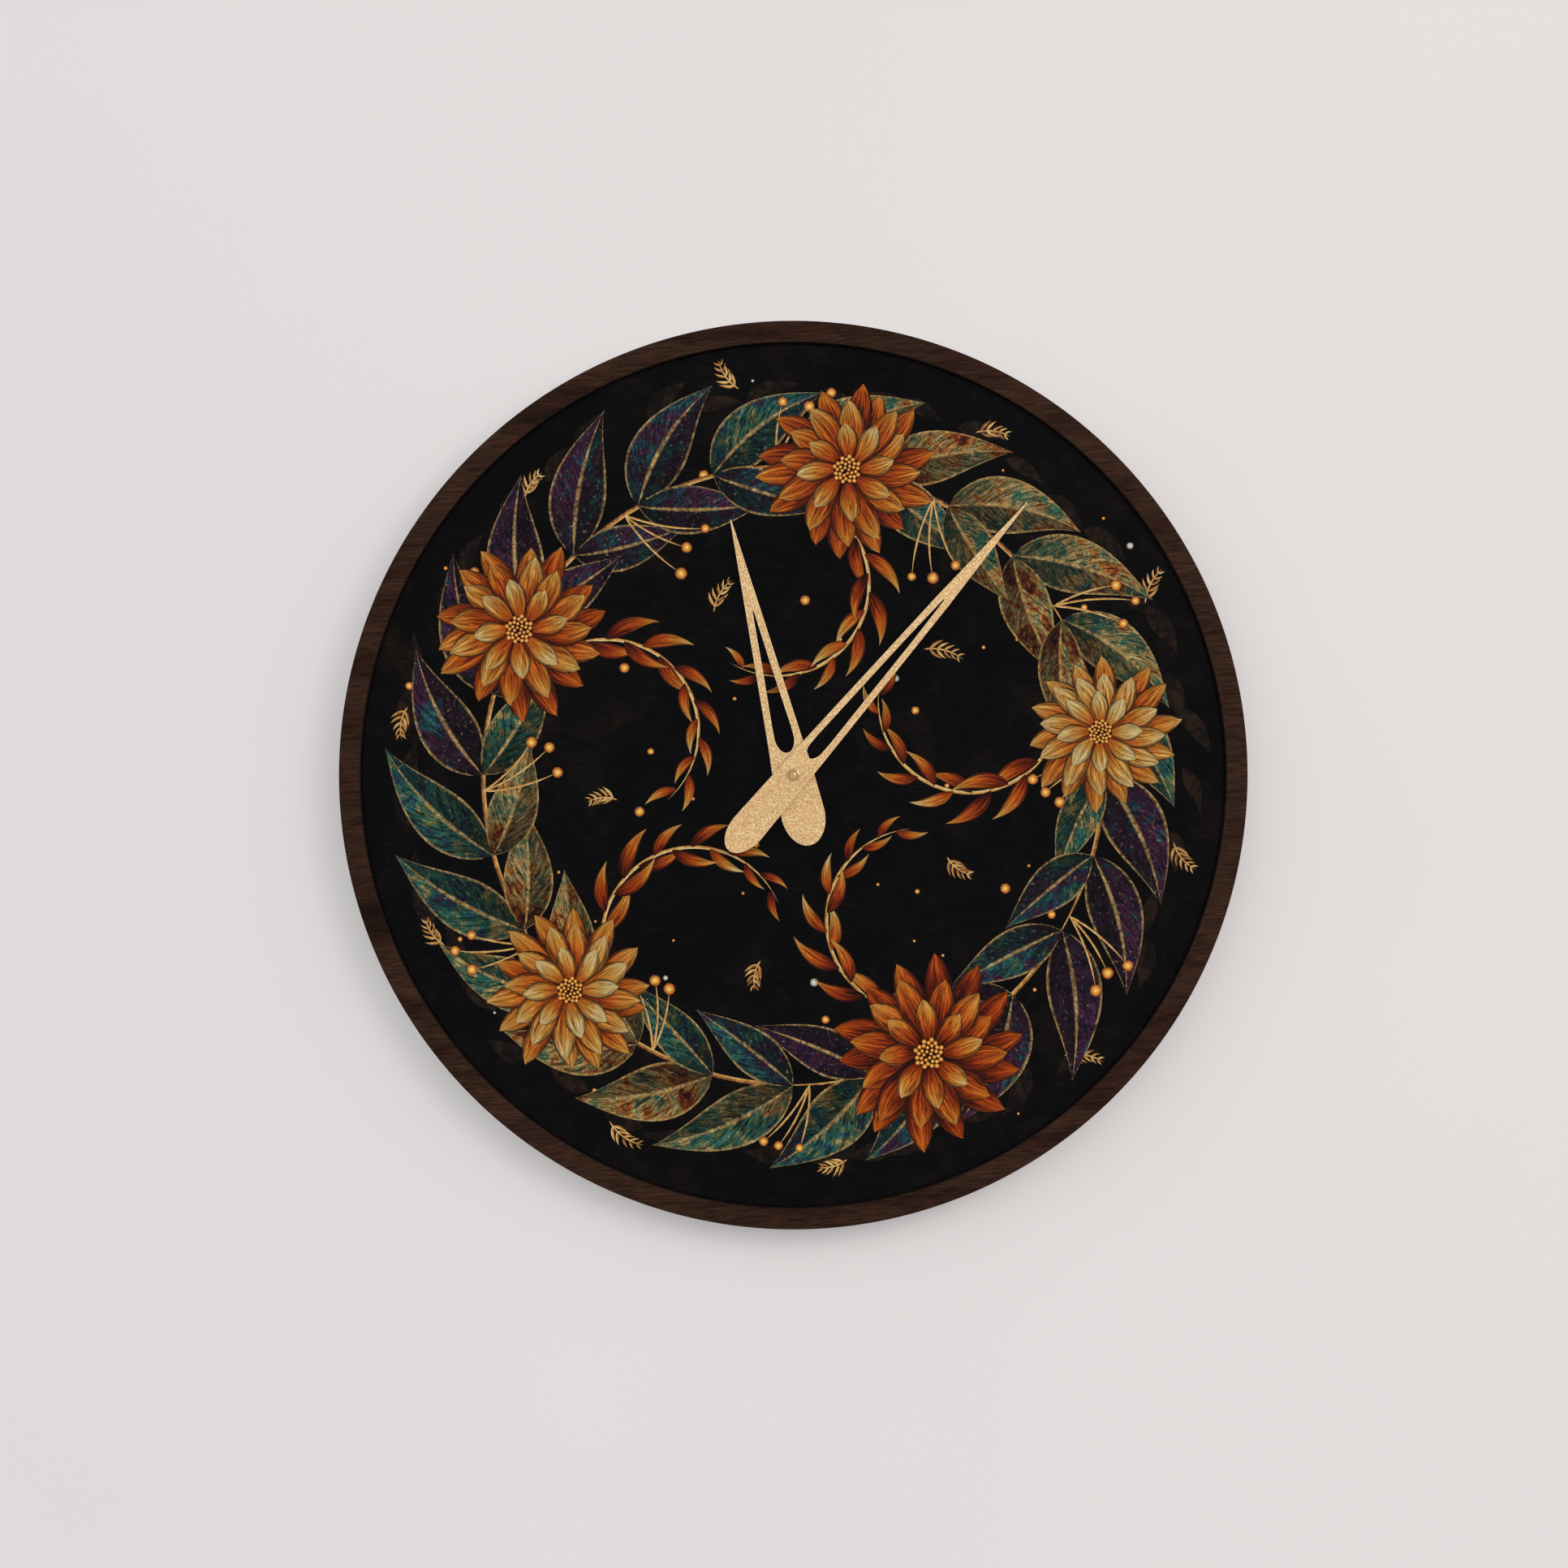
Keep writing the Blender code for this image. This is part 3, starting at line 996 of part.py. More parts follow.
def battery_contacts():
    """Stamped strips at the two ends of the battery bay, led to the board."""
    level = BOARD_LEVEL
    run_top = -GEAR_BAY_BELOW + SEAT_GAP + CONTACT_THICKNESS
    run_low = -GEAR_BAY_BELOW + SEAT_GAP
    end_low = battery_height - contact_reach
    outer = bay_right - SEAT_GAP
    inner = outer - CONTACT_THICKNESS
    bm = bmesh.new()
    strip = [(outer, end_low), (outer, run_top), (board_right - CONTACT_WIDTH, run_top),
             (board_right - CONTACT_WIDTH, run_low), (inner, run_low), (inner, end_low)]
    add_prism(bm, [strip], level, level + CONTACT_WIDTH)
    piece("battery_contact_positive", bm, "plated_steel")

    outer = bay_left + SEAT_GAP
    inner = outer + CONTACT_THICKNESS
    tip = bay_left + LEAF_SPACE
    thin = LEAF_THICKNESS
    fold_top = battery_height + contact_reach
    bm = bmesh.new()
    leaf = [(outer, end_low - thin), (inner + thin, end_low - thin), (tip, battery_height),
            (inner + 2 * thin, fold_top), (inner + thin, fold_top), (tip - thin, battery_height),
            (inner + thin / 2, end_low), (inner, end_low), (inner, run_low),
            (board_left + CONTACT_WIDTH, run_low), (board_left + CONTACT_WIDTH, run_top), (outer, run_top)]
    add_prism(bm, [leaf], level, level + CONTACT_WIDTH)
    piece("battery_contact_negative", bm, "spring_bronze")


def battery():
    """AA cell with its crimped ends and its positive nub, laid along X."""
    radius = BATTERY_DIAMETER / 2
    end = BATTERY_LENGTH / 2
    shoulder = end - BATTERY_NUB_LENGTH
    bm = bmesh.new()
    add_turned(bm, [(0, -end), (radius - BATTERY_EDGE, -end), (radius, -end + BATTERY_EDGE),
                    (radius, shoulder - BATTERY_EDGE), (radius - BATTERY_EDGE, shoulder),
                    (BATTERY_NUB_RADIUS, shoulder), (BATTERY_NUB_RADIUS, end), (0, end)], MEDIUM_POINTS)
    level = SEAT_GAP + radius
    piece("battery", bm, "cell_jacket", (battery_centre_x, battery_height, level), (0, math.pi / 2, 0))


for old in list(bpy.data.objects):
    bpy.data.objects.remove(old, do_unlink=True)

clock_frame = bpy.data.objects.new("clock_frame", None)
bpy.context.scene.collection.objects.link(clock_frame)
clock_frame.rotation_euler = (math.pi / 2, 0, 0)

dial_and_ring()
hour_hand()
minute_hand()
minute_arbor()
going_train()
motion_work()
setting_knob()
movement_case()
movement_cover()
middle_plate()
centre_fixing()
stepping_motor()
circuit()
battery_contacts()
battery()
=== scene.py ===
# %% [markdown]
# # A painted acrylic wall clock
#
# This lesson dresses a clock that was modelled in CAD. The CAD gives every piece its true size
# and says what moves with what. Here the pieces get rounded edges, a painted dial and finishes
# that are worked out from how each real part is made.

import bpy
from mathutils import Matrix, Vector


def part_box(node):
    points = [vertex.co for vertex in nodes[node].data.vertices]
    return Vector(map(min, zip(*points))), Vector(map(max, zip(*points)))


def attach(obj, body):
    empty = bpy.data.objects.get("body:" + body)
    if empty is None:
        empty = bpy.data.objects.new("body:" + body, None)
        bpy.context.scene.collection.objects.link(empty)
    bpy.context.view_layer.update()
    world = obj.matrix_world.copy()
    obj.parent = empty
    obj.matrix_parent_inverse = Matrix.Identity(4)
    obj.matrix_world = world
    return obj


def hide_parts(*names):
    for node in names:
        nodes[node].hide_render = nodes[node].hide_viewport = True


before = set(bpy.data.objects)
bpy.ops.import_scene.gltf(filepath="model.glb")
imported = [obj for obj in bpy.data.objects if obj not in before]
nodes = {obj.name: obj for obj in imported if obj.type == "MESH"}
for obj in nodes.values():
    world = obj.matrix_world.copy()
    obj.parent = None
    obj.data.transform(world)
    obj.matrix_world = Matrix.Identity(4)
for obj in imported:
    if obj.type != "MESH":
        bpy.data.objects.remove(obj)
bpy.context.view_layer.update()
print("pieces from CAD:", len(nodes))

# %% [markdown]
# The clock hangs on the wall plane y = 0 and faces -Y, with its hands turning about the origin.
# It is easier to draw a clock lying on its back, with X to the right, Y up the dial and Z for
# the distance from the wall, and to stand each mesh up at the end with a quarter turn about X.
# Heights are read from the CAD pieces, so nothing has to be fitted by eye.

# %% Levels of the dial and the ring
import random
from math import cos, pi, radians, sin, sqrt

import bmesh
import bpy
from mathutils import Matrix, Vector

MM = 0.001
RING_WIDTH = 11.8 * MM


def front_of(node):
    """Distance from the wall to the front of a CAD piece."""
    return -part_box(node)[0].y


def back_of(node):
    """Distance from the wall to the back of a CAD piece."""
    return -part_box(node)[1].y


dial_front = front_of("dial_panel")
ring_front = front_of("front_ring")
dial_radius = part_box("dial_panel")[1].x
ring_inner = dial_radius - RING_WIDTH
print("dial front at", round(dial_front / MM, 2), "mm, ring front at", round(ring_front / MM, 2), "mm")

# %% [markdown]
# A photograph taken square-on from about a metre and a half has almost no perspective, and a
# longish lens gives just that. The clock sits a few millimetres right of and above the middle of
# the picture, so the camera stands that much left and low, and needs no shift.

# %% Camera
CAMERA_DISTANCE = 1.6
PICTURE_WIDTH = 0.8625
CLOCK_RIGHT_OF_MIDDLE = 5.1 * MM
CLOCK_ABOVE_MIDDLE = 4.9 * MM

lens = bpy.data.cameras.new("camera")
lens.sensor_width = 36
lens.lens = lens.sensor_width * CAMERA_DISTANCE / PICTURE_WIDTH
lens.clip_start = 0.05
lens.clip_end = 50
camera = bpy.data.objects.new("camera", lens)
camera.location = (-CLOCK_RIGHT_OF_MIDDLE, -ring_front - CAMERA_DISTANCE, -CLOCK_ABOVE_MIDDLE)
camera.rotation_euler = (pi / 2, 0, 0)
bpy.context.scene.collection.objects.link(camera)
bpy.context.scene.camera = camera
print("lens", round(lens.lens, 1), "mm")

# %% [markdown]
# A material is a small network of nodes. Three helpers keep the later cells short: one turns the
# hex colours that a colour picker shows into the linear numbers that a shader works with, one
# fills a node's sockets or joins them to other nodes, and one adds any node. Sockets are given
# by name or in their order, which for a Map Range is the value, the range that comes in and the
# range that goes out.

# %% Colour and node helpers


def colour(code):
    """The linear value of an sRGB hex colour."""
    channels = [int(code[i : i + 2], 16) / 255 for i in (1, 3, 5)]
    return (*[c / 12.92 if c <= 0.04045 else ((c + 0.055) / 1.055) ** 2.4 for c in channels], 1)


def fill(node, inputs):
    """Sets a node's sockets, and links those that are given the output of another node."""
    for key, value in inputs.items() if isinstance(inputs, dict) else enumerate(inputs):
        if isinstance(value, bpy.types.NodeSocket):
            node.id_data.links.new(value, node.inputs[key])
        else:
            node.inputs[key].default_value = value


def add(tree, kind, inputs=(), out=0, stops=(), **settings):
    """Adds a node with its settings and links, and gives back the output that is wanted."""
    node = tree.nodes.new("ShaderNode" + kind)
    for key, value in settings.items():
        setattr(node, key, value)
    fill(node, inputs)
    if stops:
        while len(node.color_ramp.elements) < len(stops):
            node.color_ramp.elements.new(0.5)
        for element, (place, code) in zip(node.color_ramp.elements, stops):
            element.position = place
            element.color = colour(code)
    return node.outputs[out]


print("white is", colour("#ffffff"))

# %% [markdown]
# Every material starts with its shader and with Object coordinates, which stay on a piece however
# it moves. Hardly any real surface has one even colour. Many here only wander softly between two
# or three, so one function makes a material of that kind, and a finish builds on it.

# %% Starting a material


def start_material(name):
    """A new material, with its tree, its shader and its object coordinates."""
    made = bpy.data.materials.new(name)
    made.use_nodes = True
    tree = made.node_tree
    return made, tree, tree.nodes["Principled BSDF"], add(tree, "TexCoord", out="Object")


def mottled(name, noise, stops, finish):
    """A material whose colour wanders between the stops. Its noise can drive more than that."""
    made, tree, shader, place = start_material(name)
    wander = add(tree, "TexNoise", {"Vector": place, **noise})
    fill(shader, {"Base Color": add(tree, "ValToRGB", [wander], stops=stops), **finish})
    return made, tree, shader, wander


print("ready to mix materials")

# %% [markdown]
# The wall is plain matt paint. It lies a hair behind the clock's back, so it takes the clock's
# soft shadow. Part of its brightness is emission, which stands for the light that a whole pale
# room throws back into a shadow. Only the camera sees the wall, and only from the front: from
# behind, the clock's back should be seen and lit. The floor is far below the picture. It throws no
# light up at the clock, which would wash out the shadow under the ring.

# %% Wall and floor
WALL_GAP = 0.3 * MM
FLOOR_LEVEL = -1.5
WALL_HALF = 12.0
THROWN_BACK = 0.34


def stage_plane(name, material, half_size, turn, place):
    """A large plain plane that isn't part of the clock."""
    bm = bmesh.new()
    bmesh.ops.create_grid(bm, x_segments=1, y_segments=1, size=half_size)
    bmesh.ops.rotate(bm, verts=bm.verts, matrix=Matrix.Rotation(turn, 3, "X"))
    bmesh.ops.translate(bm, verts=bm.verts, vec=place)
    mesh = bpy.data.meshes.new(name)
    bm.to_mesh(mesh)
    bm.free()
    mesh.materials.append(material)
    plane = bpy.data.objects.new(name, mesh)
    bpy.context.scene.collection.objects.link(plane)
    return plane


wall_paint, tree, shader, place = start_material("matt_wall_paint")
roller = add(tree, "TexNoise", {"Vector": place, "Scale": 3.0, "Detail": 3.0})
shade = add(tree, "ValToRGB", [roller], stops=[(0.3, "#e9e4e3"), (0.7, "#ebe6e5")])
fill(shader, {"Base Color": shade, "Roughness": 0.9, "Specular IOR Level": 0.1})
painted = add(tree, "MixShader", [THROWN_BACK, shader.outputs[0], add(tree, "Emission", [shade])])
front = add(tree, "Math", [1.0, add(tree, "NewGeometry", out="Backfacing")], operation="SUBTRACT")
seen = add(tree, "Math", [front, add(tree, "LightPath", out="Is Camera Ray")], operation="MULTIPLY")
mixed = add(tree, "MixShader", [seen, add(tree, "BsdfTransparent"), painted])
fill(tree.nodes["Material Output"], {"Surface": mixed})
stage_plane("wall", wall_paint, WALL_HALF, pi / 2, (0, WALL_GAP, WALL_HALF + FLOOR_LEVEL))

floor_paint, *_ = mottled("pale_floor_paint", {"Scale": 4.0, "Detail": 3.0},
                          [(0.3, "#dcd9d6"), (0.7, "#e0dddb")], {"Roughness": 0.8})
floor = stage_plane("floor", floor_paint, 20.0, 0, (0, 0, FLOOR_LEVEL))
floor.visible_diffuse = False
print("wall and floor laid")

# %% [markdown]
# The shadow in a daylit room tells where the light comes from: it is wider at the left and the
# bottom, so the window is to the right and a little above, and its soft edge tells that the
# window is large. A second soft lamp stands behind, for views of the movement.

# %% Light
WINDOW_SIDE = radians(28)
WINDOW_OFF_AXIS = radians(36)


def soft_lamp(name, direction, distance, size, power, tone):
    """A square area lamp that looks at the clock, and isn't seen itself."""
    light = bpy.data.lights.new(name, "AREA")
    light.shape = "SQUARE"
    light.size = size
    light.energy = power
    light.color = colour(tone)[:3]
    lamp = bpy.data.objects.new(name, light)
    lamp.location = Vector(direction) * distance
    lamp.rotation_euler = Vector(direction).to_track_quat("Z", "Y").to_euler()
    lamp.visible_camera = False
    bpy.context.scene.collection.objects.link(lamp)
    return lamp


to_window = (sin(WINDOW_OFF_AXIS) * cos(WINDOW_SIDE), -cos(WINDOW_OFF_AXIS),
             sin(WINDOW_OFF_AXIS) * sin(WINDOW_SIDE))
window = soft_lamp("window", to_window, distance=3.4, size=1.4, power=27, tone="#ffece4")
soft_lamp("lamp_behind", (0.42, 0.7, 0.58), distance=3.0, size=1.6, power=44, tone="#fffdfa")
print("window at", [round(v, 2) for v in window.location])

# %% [markdown]
# The window gives only part of the light. The rest comes from the whole room, whose walls are
# brightest above the clock, darker at the ceiling and darkest near the floor: a curve over height
# draws that. The camera, and what shines or lets light through, see a plain pale backdrop instead.

# %% Room
ROOM_STRENGTH = 1.75
BRIGHT_AT_HEIGHT = ((0.34, 0.07), (0.5, 0.5), (0.68, 1.0), (0.86, 0.4))

room = bpy.data.worlds.new("room")
room.use_nodes = True
tree = room.node_tree
height = add(tree, "SeparateXYZ", [add(tree, "TexCoord", out="Generated")], out="Z")
bright = add(tree, "FloatCurve", {"Value": add(tree, "MapRange", [height, -1.0])})
curve = bright.node.mapping.curves[0]
for place, level in BRIGHT_AT_HEIGHT:
    curve.points.new(place, level)
curve.points[0].location = (0, 0.1)
curve.points[-1].location = (1, 0.2)
bright.node.mapping.update()
strength = add(tree, "Math", [bright, ROOM_STRENGTH], operation="MULTIPLY")
lit = tree.nodes["Background"]
fill(lit, {"Color": colour("#fafdff"), "Strength": strength})
seen = add(tree, "Background", {"Color": colour("#e2dfdd"), "Strength": 1.0})
rays = add(tree, "LightPath").node.outputs
mirrored = add(tree, "Math", [rays["Is Glossy Ray"], rays["Is Transmission Ray"]])
backdrop = add(tree, "Math", [mirrored, rays["Is Camera Ray"]], use_clamp=True)
mixed = add(tree, "MixShader", [backdrop, lit.outputs[0], seen])
fill(tree.nodes["World Output"], {"Surface": mixed})
bpy.context.scene.world = room
bpy.context.scene.view_settings.view_transform = "Standard"
print("room ready")

# %% [markdown]
# Every finished mesh goes through one function. It joins coincident points, turns the faces
# outwards, stands the mesh up, says which body it rides on, and hides the CAD piece that it takes
# the place of. A piece that isn't drawn lying down is left standing as it is.

# %% Finishing a piece
QUARTER_TURN = Matrix.Rotation(pi / 2, 3, "X")
SHARP_ANGLE = radians(46)
TOUCHING = 1e-6


def even_out(piece):
    """Lets the large faces lead the shading, so that they look flat up to their eased edges."""
    evener = piece.modifiers.new("even_shading", "WEIGHTED_NORMAL")
    evener.keep_sharp = True


def finish_piece(bm, name, finishes, body, node=None, lying=True):
    """Makes the mesh a piece of the clock, in place of a CAD piece if one is given."""
    bmesh.ops.remove_doubles(bm, verts=bm.verts, dist=TOUCHING)
    if lying:
        bmesh.ops.rotate(bm, verts=bm.verts, matrix=QUARTER_TURN)
        bmesh.ops.recalc_face_normals(bm, faces=bm.faces)
    mesh = bpy.data.meshes.new(name)
    bm.to_mesh(mesh)
    bm.free()
    for finish in finishes:
        mesh.materials.append(finish)
    mesh.shade_smooth()
    mesh.set_sharp_from_angle(angle=SHARP_ANGLE)
    piece = bpy.data.objects.new(name, mesh)
    bpy.context.scene.collection.objects.link(piece)
    even_out(piece)
    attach(piece, body)
    if node:
        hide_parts(node)
    print(name, "has", len(mesh.polygons), "faces")
    return piece


print("an edge looks sharp from", round(SHARP_ANGLE * 180 / pi), "degrees")

# %% [markdown]
# The thin highlight on an edge is what tells the eye how big a part is, and no real edge is
# perfectly sharp. So a CAD piece is copied and its edges get a narrow rounding from the bevel
# operator. Its coplanar facets are merged first, or the bevel would stop at every seam.

# %% Rounding a CAD piece


def soften(node, name, finishes, body, width):
    """A copy of a CAD piece with its edges rounded. The rounding wears the last of its finishes."""
    bm = bmesh.new()
    bm.from_mesh(nodes[node].data)
    bmesh.ops.remove_doubles(bm, verts=bm.verts, dist=TOUCHING)
    bmesh.ops.dissolve_limit(bm, angle_limit=radians(1), verts=bm.verts, edges=bm.edges)
    edges = [e for e in bm.edges if e.is_manifold and e.calc_face_angle() > radians(35)]
    rounded = bmesh.ops.bevel(bm, geom=edges, offset=width, offset_type="OFFSET", segments=2,
                              profile=0.5, affect="EDGES", clamp_overlap=True, material=-1)
    for face in rounded["faces"]:
        face.material_index = len(finishes) - 1
    return finish_piece(bm, name, finishes, body, node, lying=False)


print("pieces to round or dress:", ", ".join(sorted(nodes)))

# %% [markdown]
# ## The wood ring
#
# The ring is walnut-veneered board, cut flat and finished with a matt lacquer. Walnut is a ring
# porous wood: its dark pores are short hair-thin lines along the grain, about 0.3 mm wide and a
# centimetre long, and broad bands of warmer and cooler brown lie under them. Both patterns are
# noise that is stretched along X, because the ring was cut from one sheet with its grain level.

# %% Walnut veneer
walnut, tree, shader, place = start_material("walnut_veneer_matt_lacquer")
tilted = add(tree, "Mapping", {"Vector": place, "Rotation": (0, radians(4), 0)})
bands = add(tree, "Mapping", {"Vector": tilted, "Scale": (9, 60, 60)})
band = add(tree, "TexNoise", {"Vector": bands, "Scale": 1.0, "Detail": 4.0, "Roughness": 0.6,
                              "Distortion": 0.6})
brown = add(tree, "ValToRGB", [band], stops=[(0.28, "#20130c"), (0.42, "#321c13"), (0.55, "#38251a"),
                                             (0.66, "#3e261c"), (0.8, "#4b3324")])
pores = add(tree, "Mapping", {"Vector": tilted, "Scale": (90, 900, 1100)})
pore = add(tree, "TexNoise", {"Vector": pores, "Scale": 1.0, "Detail": 3.0, "Roughness": 0.7})
pore_mask = add(tree, "MapRange", [pore, 0.36, 0.64, 0.4, 1.3])
shaded = add(tree, "VectorMath", [brown, pore_mask], operation="MULTIPLY")
relief = add(tree, "Bump", {"Height": pore, "Strength": 0.35, "Distance": 0.08 * MM})
fill(shader, {"Base Color": shaded, "Roughness": 0.62, "Specular IOR Level": 0.06, "Normal": relief})

charred, *_ = mottled("laser_charred_edge", {"Scale": 900.0, "Detail": 3.0},
                      [(0.3, "#0d0806"), (0.7, "#21150f")], {"Roughness": 0.8, "Specular IOR Level": 0.1})
print("walnut and charred edge ready")

# %% [markdown]
# A ring could be two circles and a bridge between them. Spinning its cut section is just as
# short, and lets the edges be eased: a chamfer of 0.4 mm on each corner. The ring is cut out by a
# laser, which chars the wood that it passes. So its sides and chamfers are near black, and a thin
# dark line borders the veneer.

# %% Ring
ROUND_STEPS = 240


def eased_section(inner, outer, low, high, ease):
    """A rectangular section with its corners cut."""
    return [(inner + ease, low), (outer - ease, low), (outer, low + ease), (outer, high - ease),
            (outer - ease, high), (inner + ease, high), (inner, high - ease), (inner, low + ease)]


def turn_profile(bm, profile, steps):
    """A closed profile of (radius, distance from the wall) points, spun about the hand axis."""
    corners = [bm.verts.new((r, 0, z)) for r, z in profile]
    pairs = list(zip(corners, corners[1:]))
    if profile[0][0] > 0:
        pairs.append((corners[-1], corners[0]))
    edges = [bm.edges.new(pair) for pair in pairs]
    bmesh.ops.spin(bm, geom=corners + edges, angle=2 * pi, steps=steps, axis=(0, 0, 1),
                   cent=(0, 0, 0), use_merge=True)


def part_faces(bm, front):
    """The flat front face wears the first finish, and all the others the second."""
    for face in bm.faces:
        at_front = min(vert.co.z for vert in face.verts) > front - 0.01 * MM
        face.material_index = 0 if at_front else 1


bm = bmesh.new()
section = eased_section(ring_inner, dial_radius, back_of("front_ring"), ring_front, 0.4 * MM)
turn_profile(bm, section, ROUND_STEPS)
part_faces(bm, ring_front)
finish_piece(bm, "wood_ring", [walnut, charred], "clock_body", "front_ring")

# %% [markdown]
# ## The acrylic panel
#
# Behind the ring lies a 3 mm disc of cast acrylic. Its front is printed black and varnished dead
# matt, so almost nothing of the room shows in it. The black isn't even: faint brown and blue-black
# brush marks run through it. Its edge and back are bare black acrylic with a satin face, cloudy
# from handling.

# %% Black printed ground and bare acrylic
ground, tree, shader, place = start_material("printed_acrylic_black_ground")
wide = add(tree, "TexNoise", {"Vector": place, "Scale": 22.0, "Detail": 6.0, "Roughness": 0.65,
                              "Distortion": 1.4})
tone = add(tree, "ValToRGB", [wide],
           stops=[(0.35, "#040305"), (0.52, "#070608"), (0.62, "#0e0a09"), (0.78, "#1e140f")])
brushed = add(tree, "Mapping", {"Vector": place, "Rotation": (0, radians(35), 0), "Scale": (90, 90, 700)})
bristle = add(tree, "TexNoise", {"Vector": brushed, "Scale": 1.0, "Detail": 3.0})
lift = add(tree, "MapRange", [bristle, 0.45, 0.75, 0.8, 1.7])
inked = add(tree, "VectorMath", [tone, lift], operation="MULTIPLY")
relief = add(tree, "Bump", {"Height": bristle, "Strength": 0.15, "Distance": 0.03 * MM})
fill(shader, {"Base Color": inked, "Roughness": 0.22, "Specular IOR Level": 0.058, "Normal": relief})

bare, tree, shader, cloud = mottled("cast_black_acrylic", {"Scale": 14.0, "Detail": 5.0, "Roughness": 0.6},
                                    [(0.35, "#111112"), (0.7, "#1a1a1b")], {"IOR": 1.49})
fill(shader, {"Roughness": add(tree, "MapRange", [cloud, 0.3, 0.7, 0.26, 0.36])})
print("ground and bare acrylic ready")

# %% [markdown]
# The panel is spun as the ring is, round a hole for the movement's bushing. Acrylic is cut by the
# laser too, which melts its edge to a small even chamfer.

# %% Panel
HUB_HOLE = 4.3 * MM
bm = bmesh.new()
section = eased_section(HUB_HOLE, dial_radius, back_of("dial_panel"), dial_front, 0.2 * MM)
turn_profile(bm, section, ROUND_STEPS)
part_faces(bm, dial_front)
finish_piece(bm, "acrylic_panel", [ground, bare], "clock_body", "dial_panel")

# %% [markdown]
# ## The painted wreath
#
# The dial carries a painting, so here a botanical wreath is painted on it: long mottled leaves,
# five blossoms, gold tendrils, ferns and beads on the black ground. Leaves, petals and stems all
# bend along an arc. They differ in their outline, which is the share of their full width that
# they have at a point along them.

# %% Arcs and outlines


def arc_point(foot, heading, length, bend, along):
    """Where an arc has got to, and the way it points there."""
    turned = heading + bend * along
    radius = length / bend
    x = foot[0] + radius * (sin(turned) - sin(heading))
    y = foot[1] - radius * (cos(turned) - cos(heading))
    return (x, y), turned


def leaf_outline(along):
    """Widest below the middle, with a drawn-out tip."""
    return sin(pi * along**0.72) ** 1.15 if 0 < along < 1 else 0


def petal_outline(along):
    """Widest above the middle, with a blunt point."""
    return sin(pi * along**1.35) ** 0.75 if 0 < along < 1 else 0


def stem_outline(along):
    """Nearly even, drawn out to a point at both ends."""
    return min(1, 12 * along, 3 * (1 - along))


widest = [max(range(101), key=lambda i: outline(i / 100)) for outline in (leaf_outline, petal_outline)]
print("a leaf is widest at", widest[0], "% of its length, a petal at", widest[1], "%")

# %% [markdown]
# Each leaf or petal is a small grid that is narrowed to its outline and bent along an arc. The
# grid keeps its own UV map, with v from foot to tip and u across, so a material can paint a
# midrib, veins and an edge that follow the leaf. A number on each face, the tint, moves it along
# the palette.

# %% Blades of ink
LAYER = 0.03 * MM


def start_ink():
    """A mesh with the UV map and the tint that the inks read."""
    bm = bmesh.new()
    bm.loops.layers.uv.new("blade")
    bm.faces.layers.float.new("tint")
    return bm


def tint_faces(bm, verts, tint):
    """Gives the faces at these points their place on the ink's palette."""
    layer = bm.faces.layers.float["tint"]
    for face in {face for vert in verts for face in vert.link_faces}:
        face[layer] = tint


def add_blade(bm, foot, heading, length, width, bend, level, tint, outline, steps):
    """A leaf, petal or stem from its foot, on its own level above the panel."""
    grid = bmesh.ops.create_grid(bm, x_segments=steps[0], y_segments=steps[1], size=0.5, calc_uvs=True)
    tint_faces(bm, grid["verts"], tint)
    for vert in grid["verts"]:
        along = vert.co.y + 0.5
        across = vert.co.x * width * outline(along)
        (x, y), turned = arc_point(foot, heading, length, bend, along)
        vert.co = (x + across * sin(turned), y - across * cos(turned), level)


print("a layer of ink is", round(LAYER / MM, 3), "mm")

# %% [markdown]
# Flat ink would float above the panel, so each blade's outline is drawn down into it like a very
# low plateau. Round dabs come from a circle. A point on the dial is given as a clock gives it, in
# degrees from the top.

# %% Dabs and printing


def add_disc(bm, centre, radius, level, tint, segments):
    """A round dab of ink."""
    disc = bmesh.ops.create_circle(bm, cap_ends=True, segments=segments, radius=radius,
                                   matrix=Matrix.Translation((*centre, level)), calc_uvs=True)
    tint_faces(bm, disc["verts"], tint)


def print_ink(bm, name, ink):
    """Carries flat ink down to the panel and makes it a piece of the clock."""
    flat = bm.verts[:]
    bmesh.ops.extrude_face_region(bm, geom=bm.faces[:])
    for vert in flat:
        vert.co.z = dial_front - LAYER / 2
    finish_piece(bm, name, [ink], "clock_body")


def around(degrees, radius):
    """A point on the dial, in degrees clockwise from the top."""
    angle = radians(90 - degrees)
    return radius * cos(angle), radius * sin(angle)


print("three o'clock lies along", [round(value, 3) for value in around(90, 1)])

# %% [markdown]
# Nearly every ink reads the tint and the UV map, so these come with a new ink. Two inks show
# brush marks: noise that is stretched along the blade, and shifted by the place on the dial so
# that no two blades look alike.

# %% What the inks share


def start_ink_material(name):
    """A material as start_material makes it, with the tint and the UV map of the blades."""
    made, tree, shader, place = start_material(name)
    tint = add(tree, "Attribute", out="Fac", attribute_name="tint")
    return made, tree, shader, place, tint, add(tree, "UVMap", uv_map="blade")


def brush_marks(tree, along, stretch, place, roughness, distortion):
    """Noise that is drawn out along a blade, and differs from one blade to the next."""
    stretched = add(tree, "Mapping", {"Vector": along, "Scale": stretch})
    scattered = add(tree, "Mapping", {"Vector": place, "Scale": (45, 45, 45)})
    drawn = add(tree, "VectorMath", [stretched, scattered])
    return add(tree, "TexNoise", {"Vector": drawn, "Scale": 1.0, "Detail": 6.0,
                                  "Roughness": roughness, "Distortion": distortion})


print("ready to mix inks")

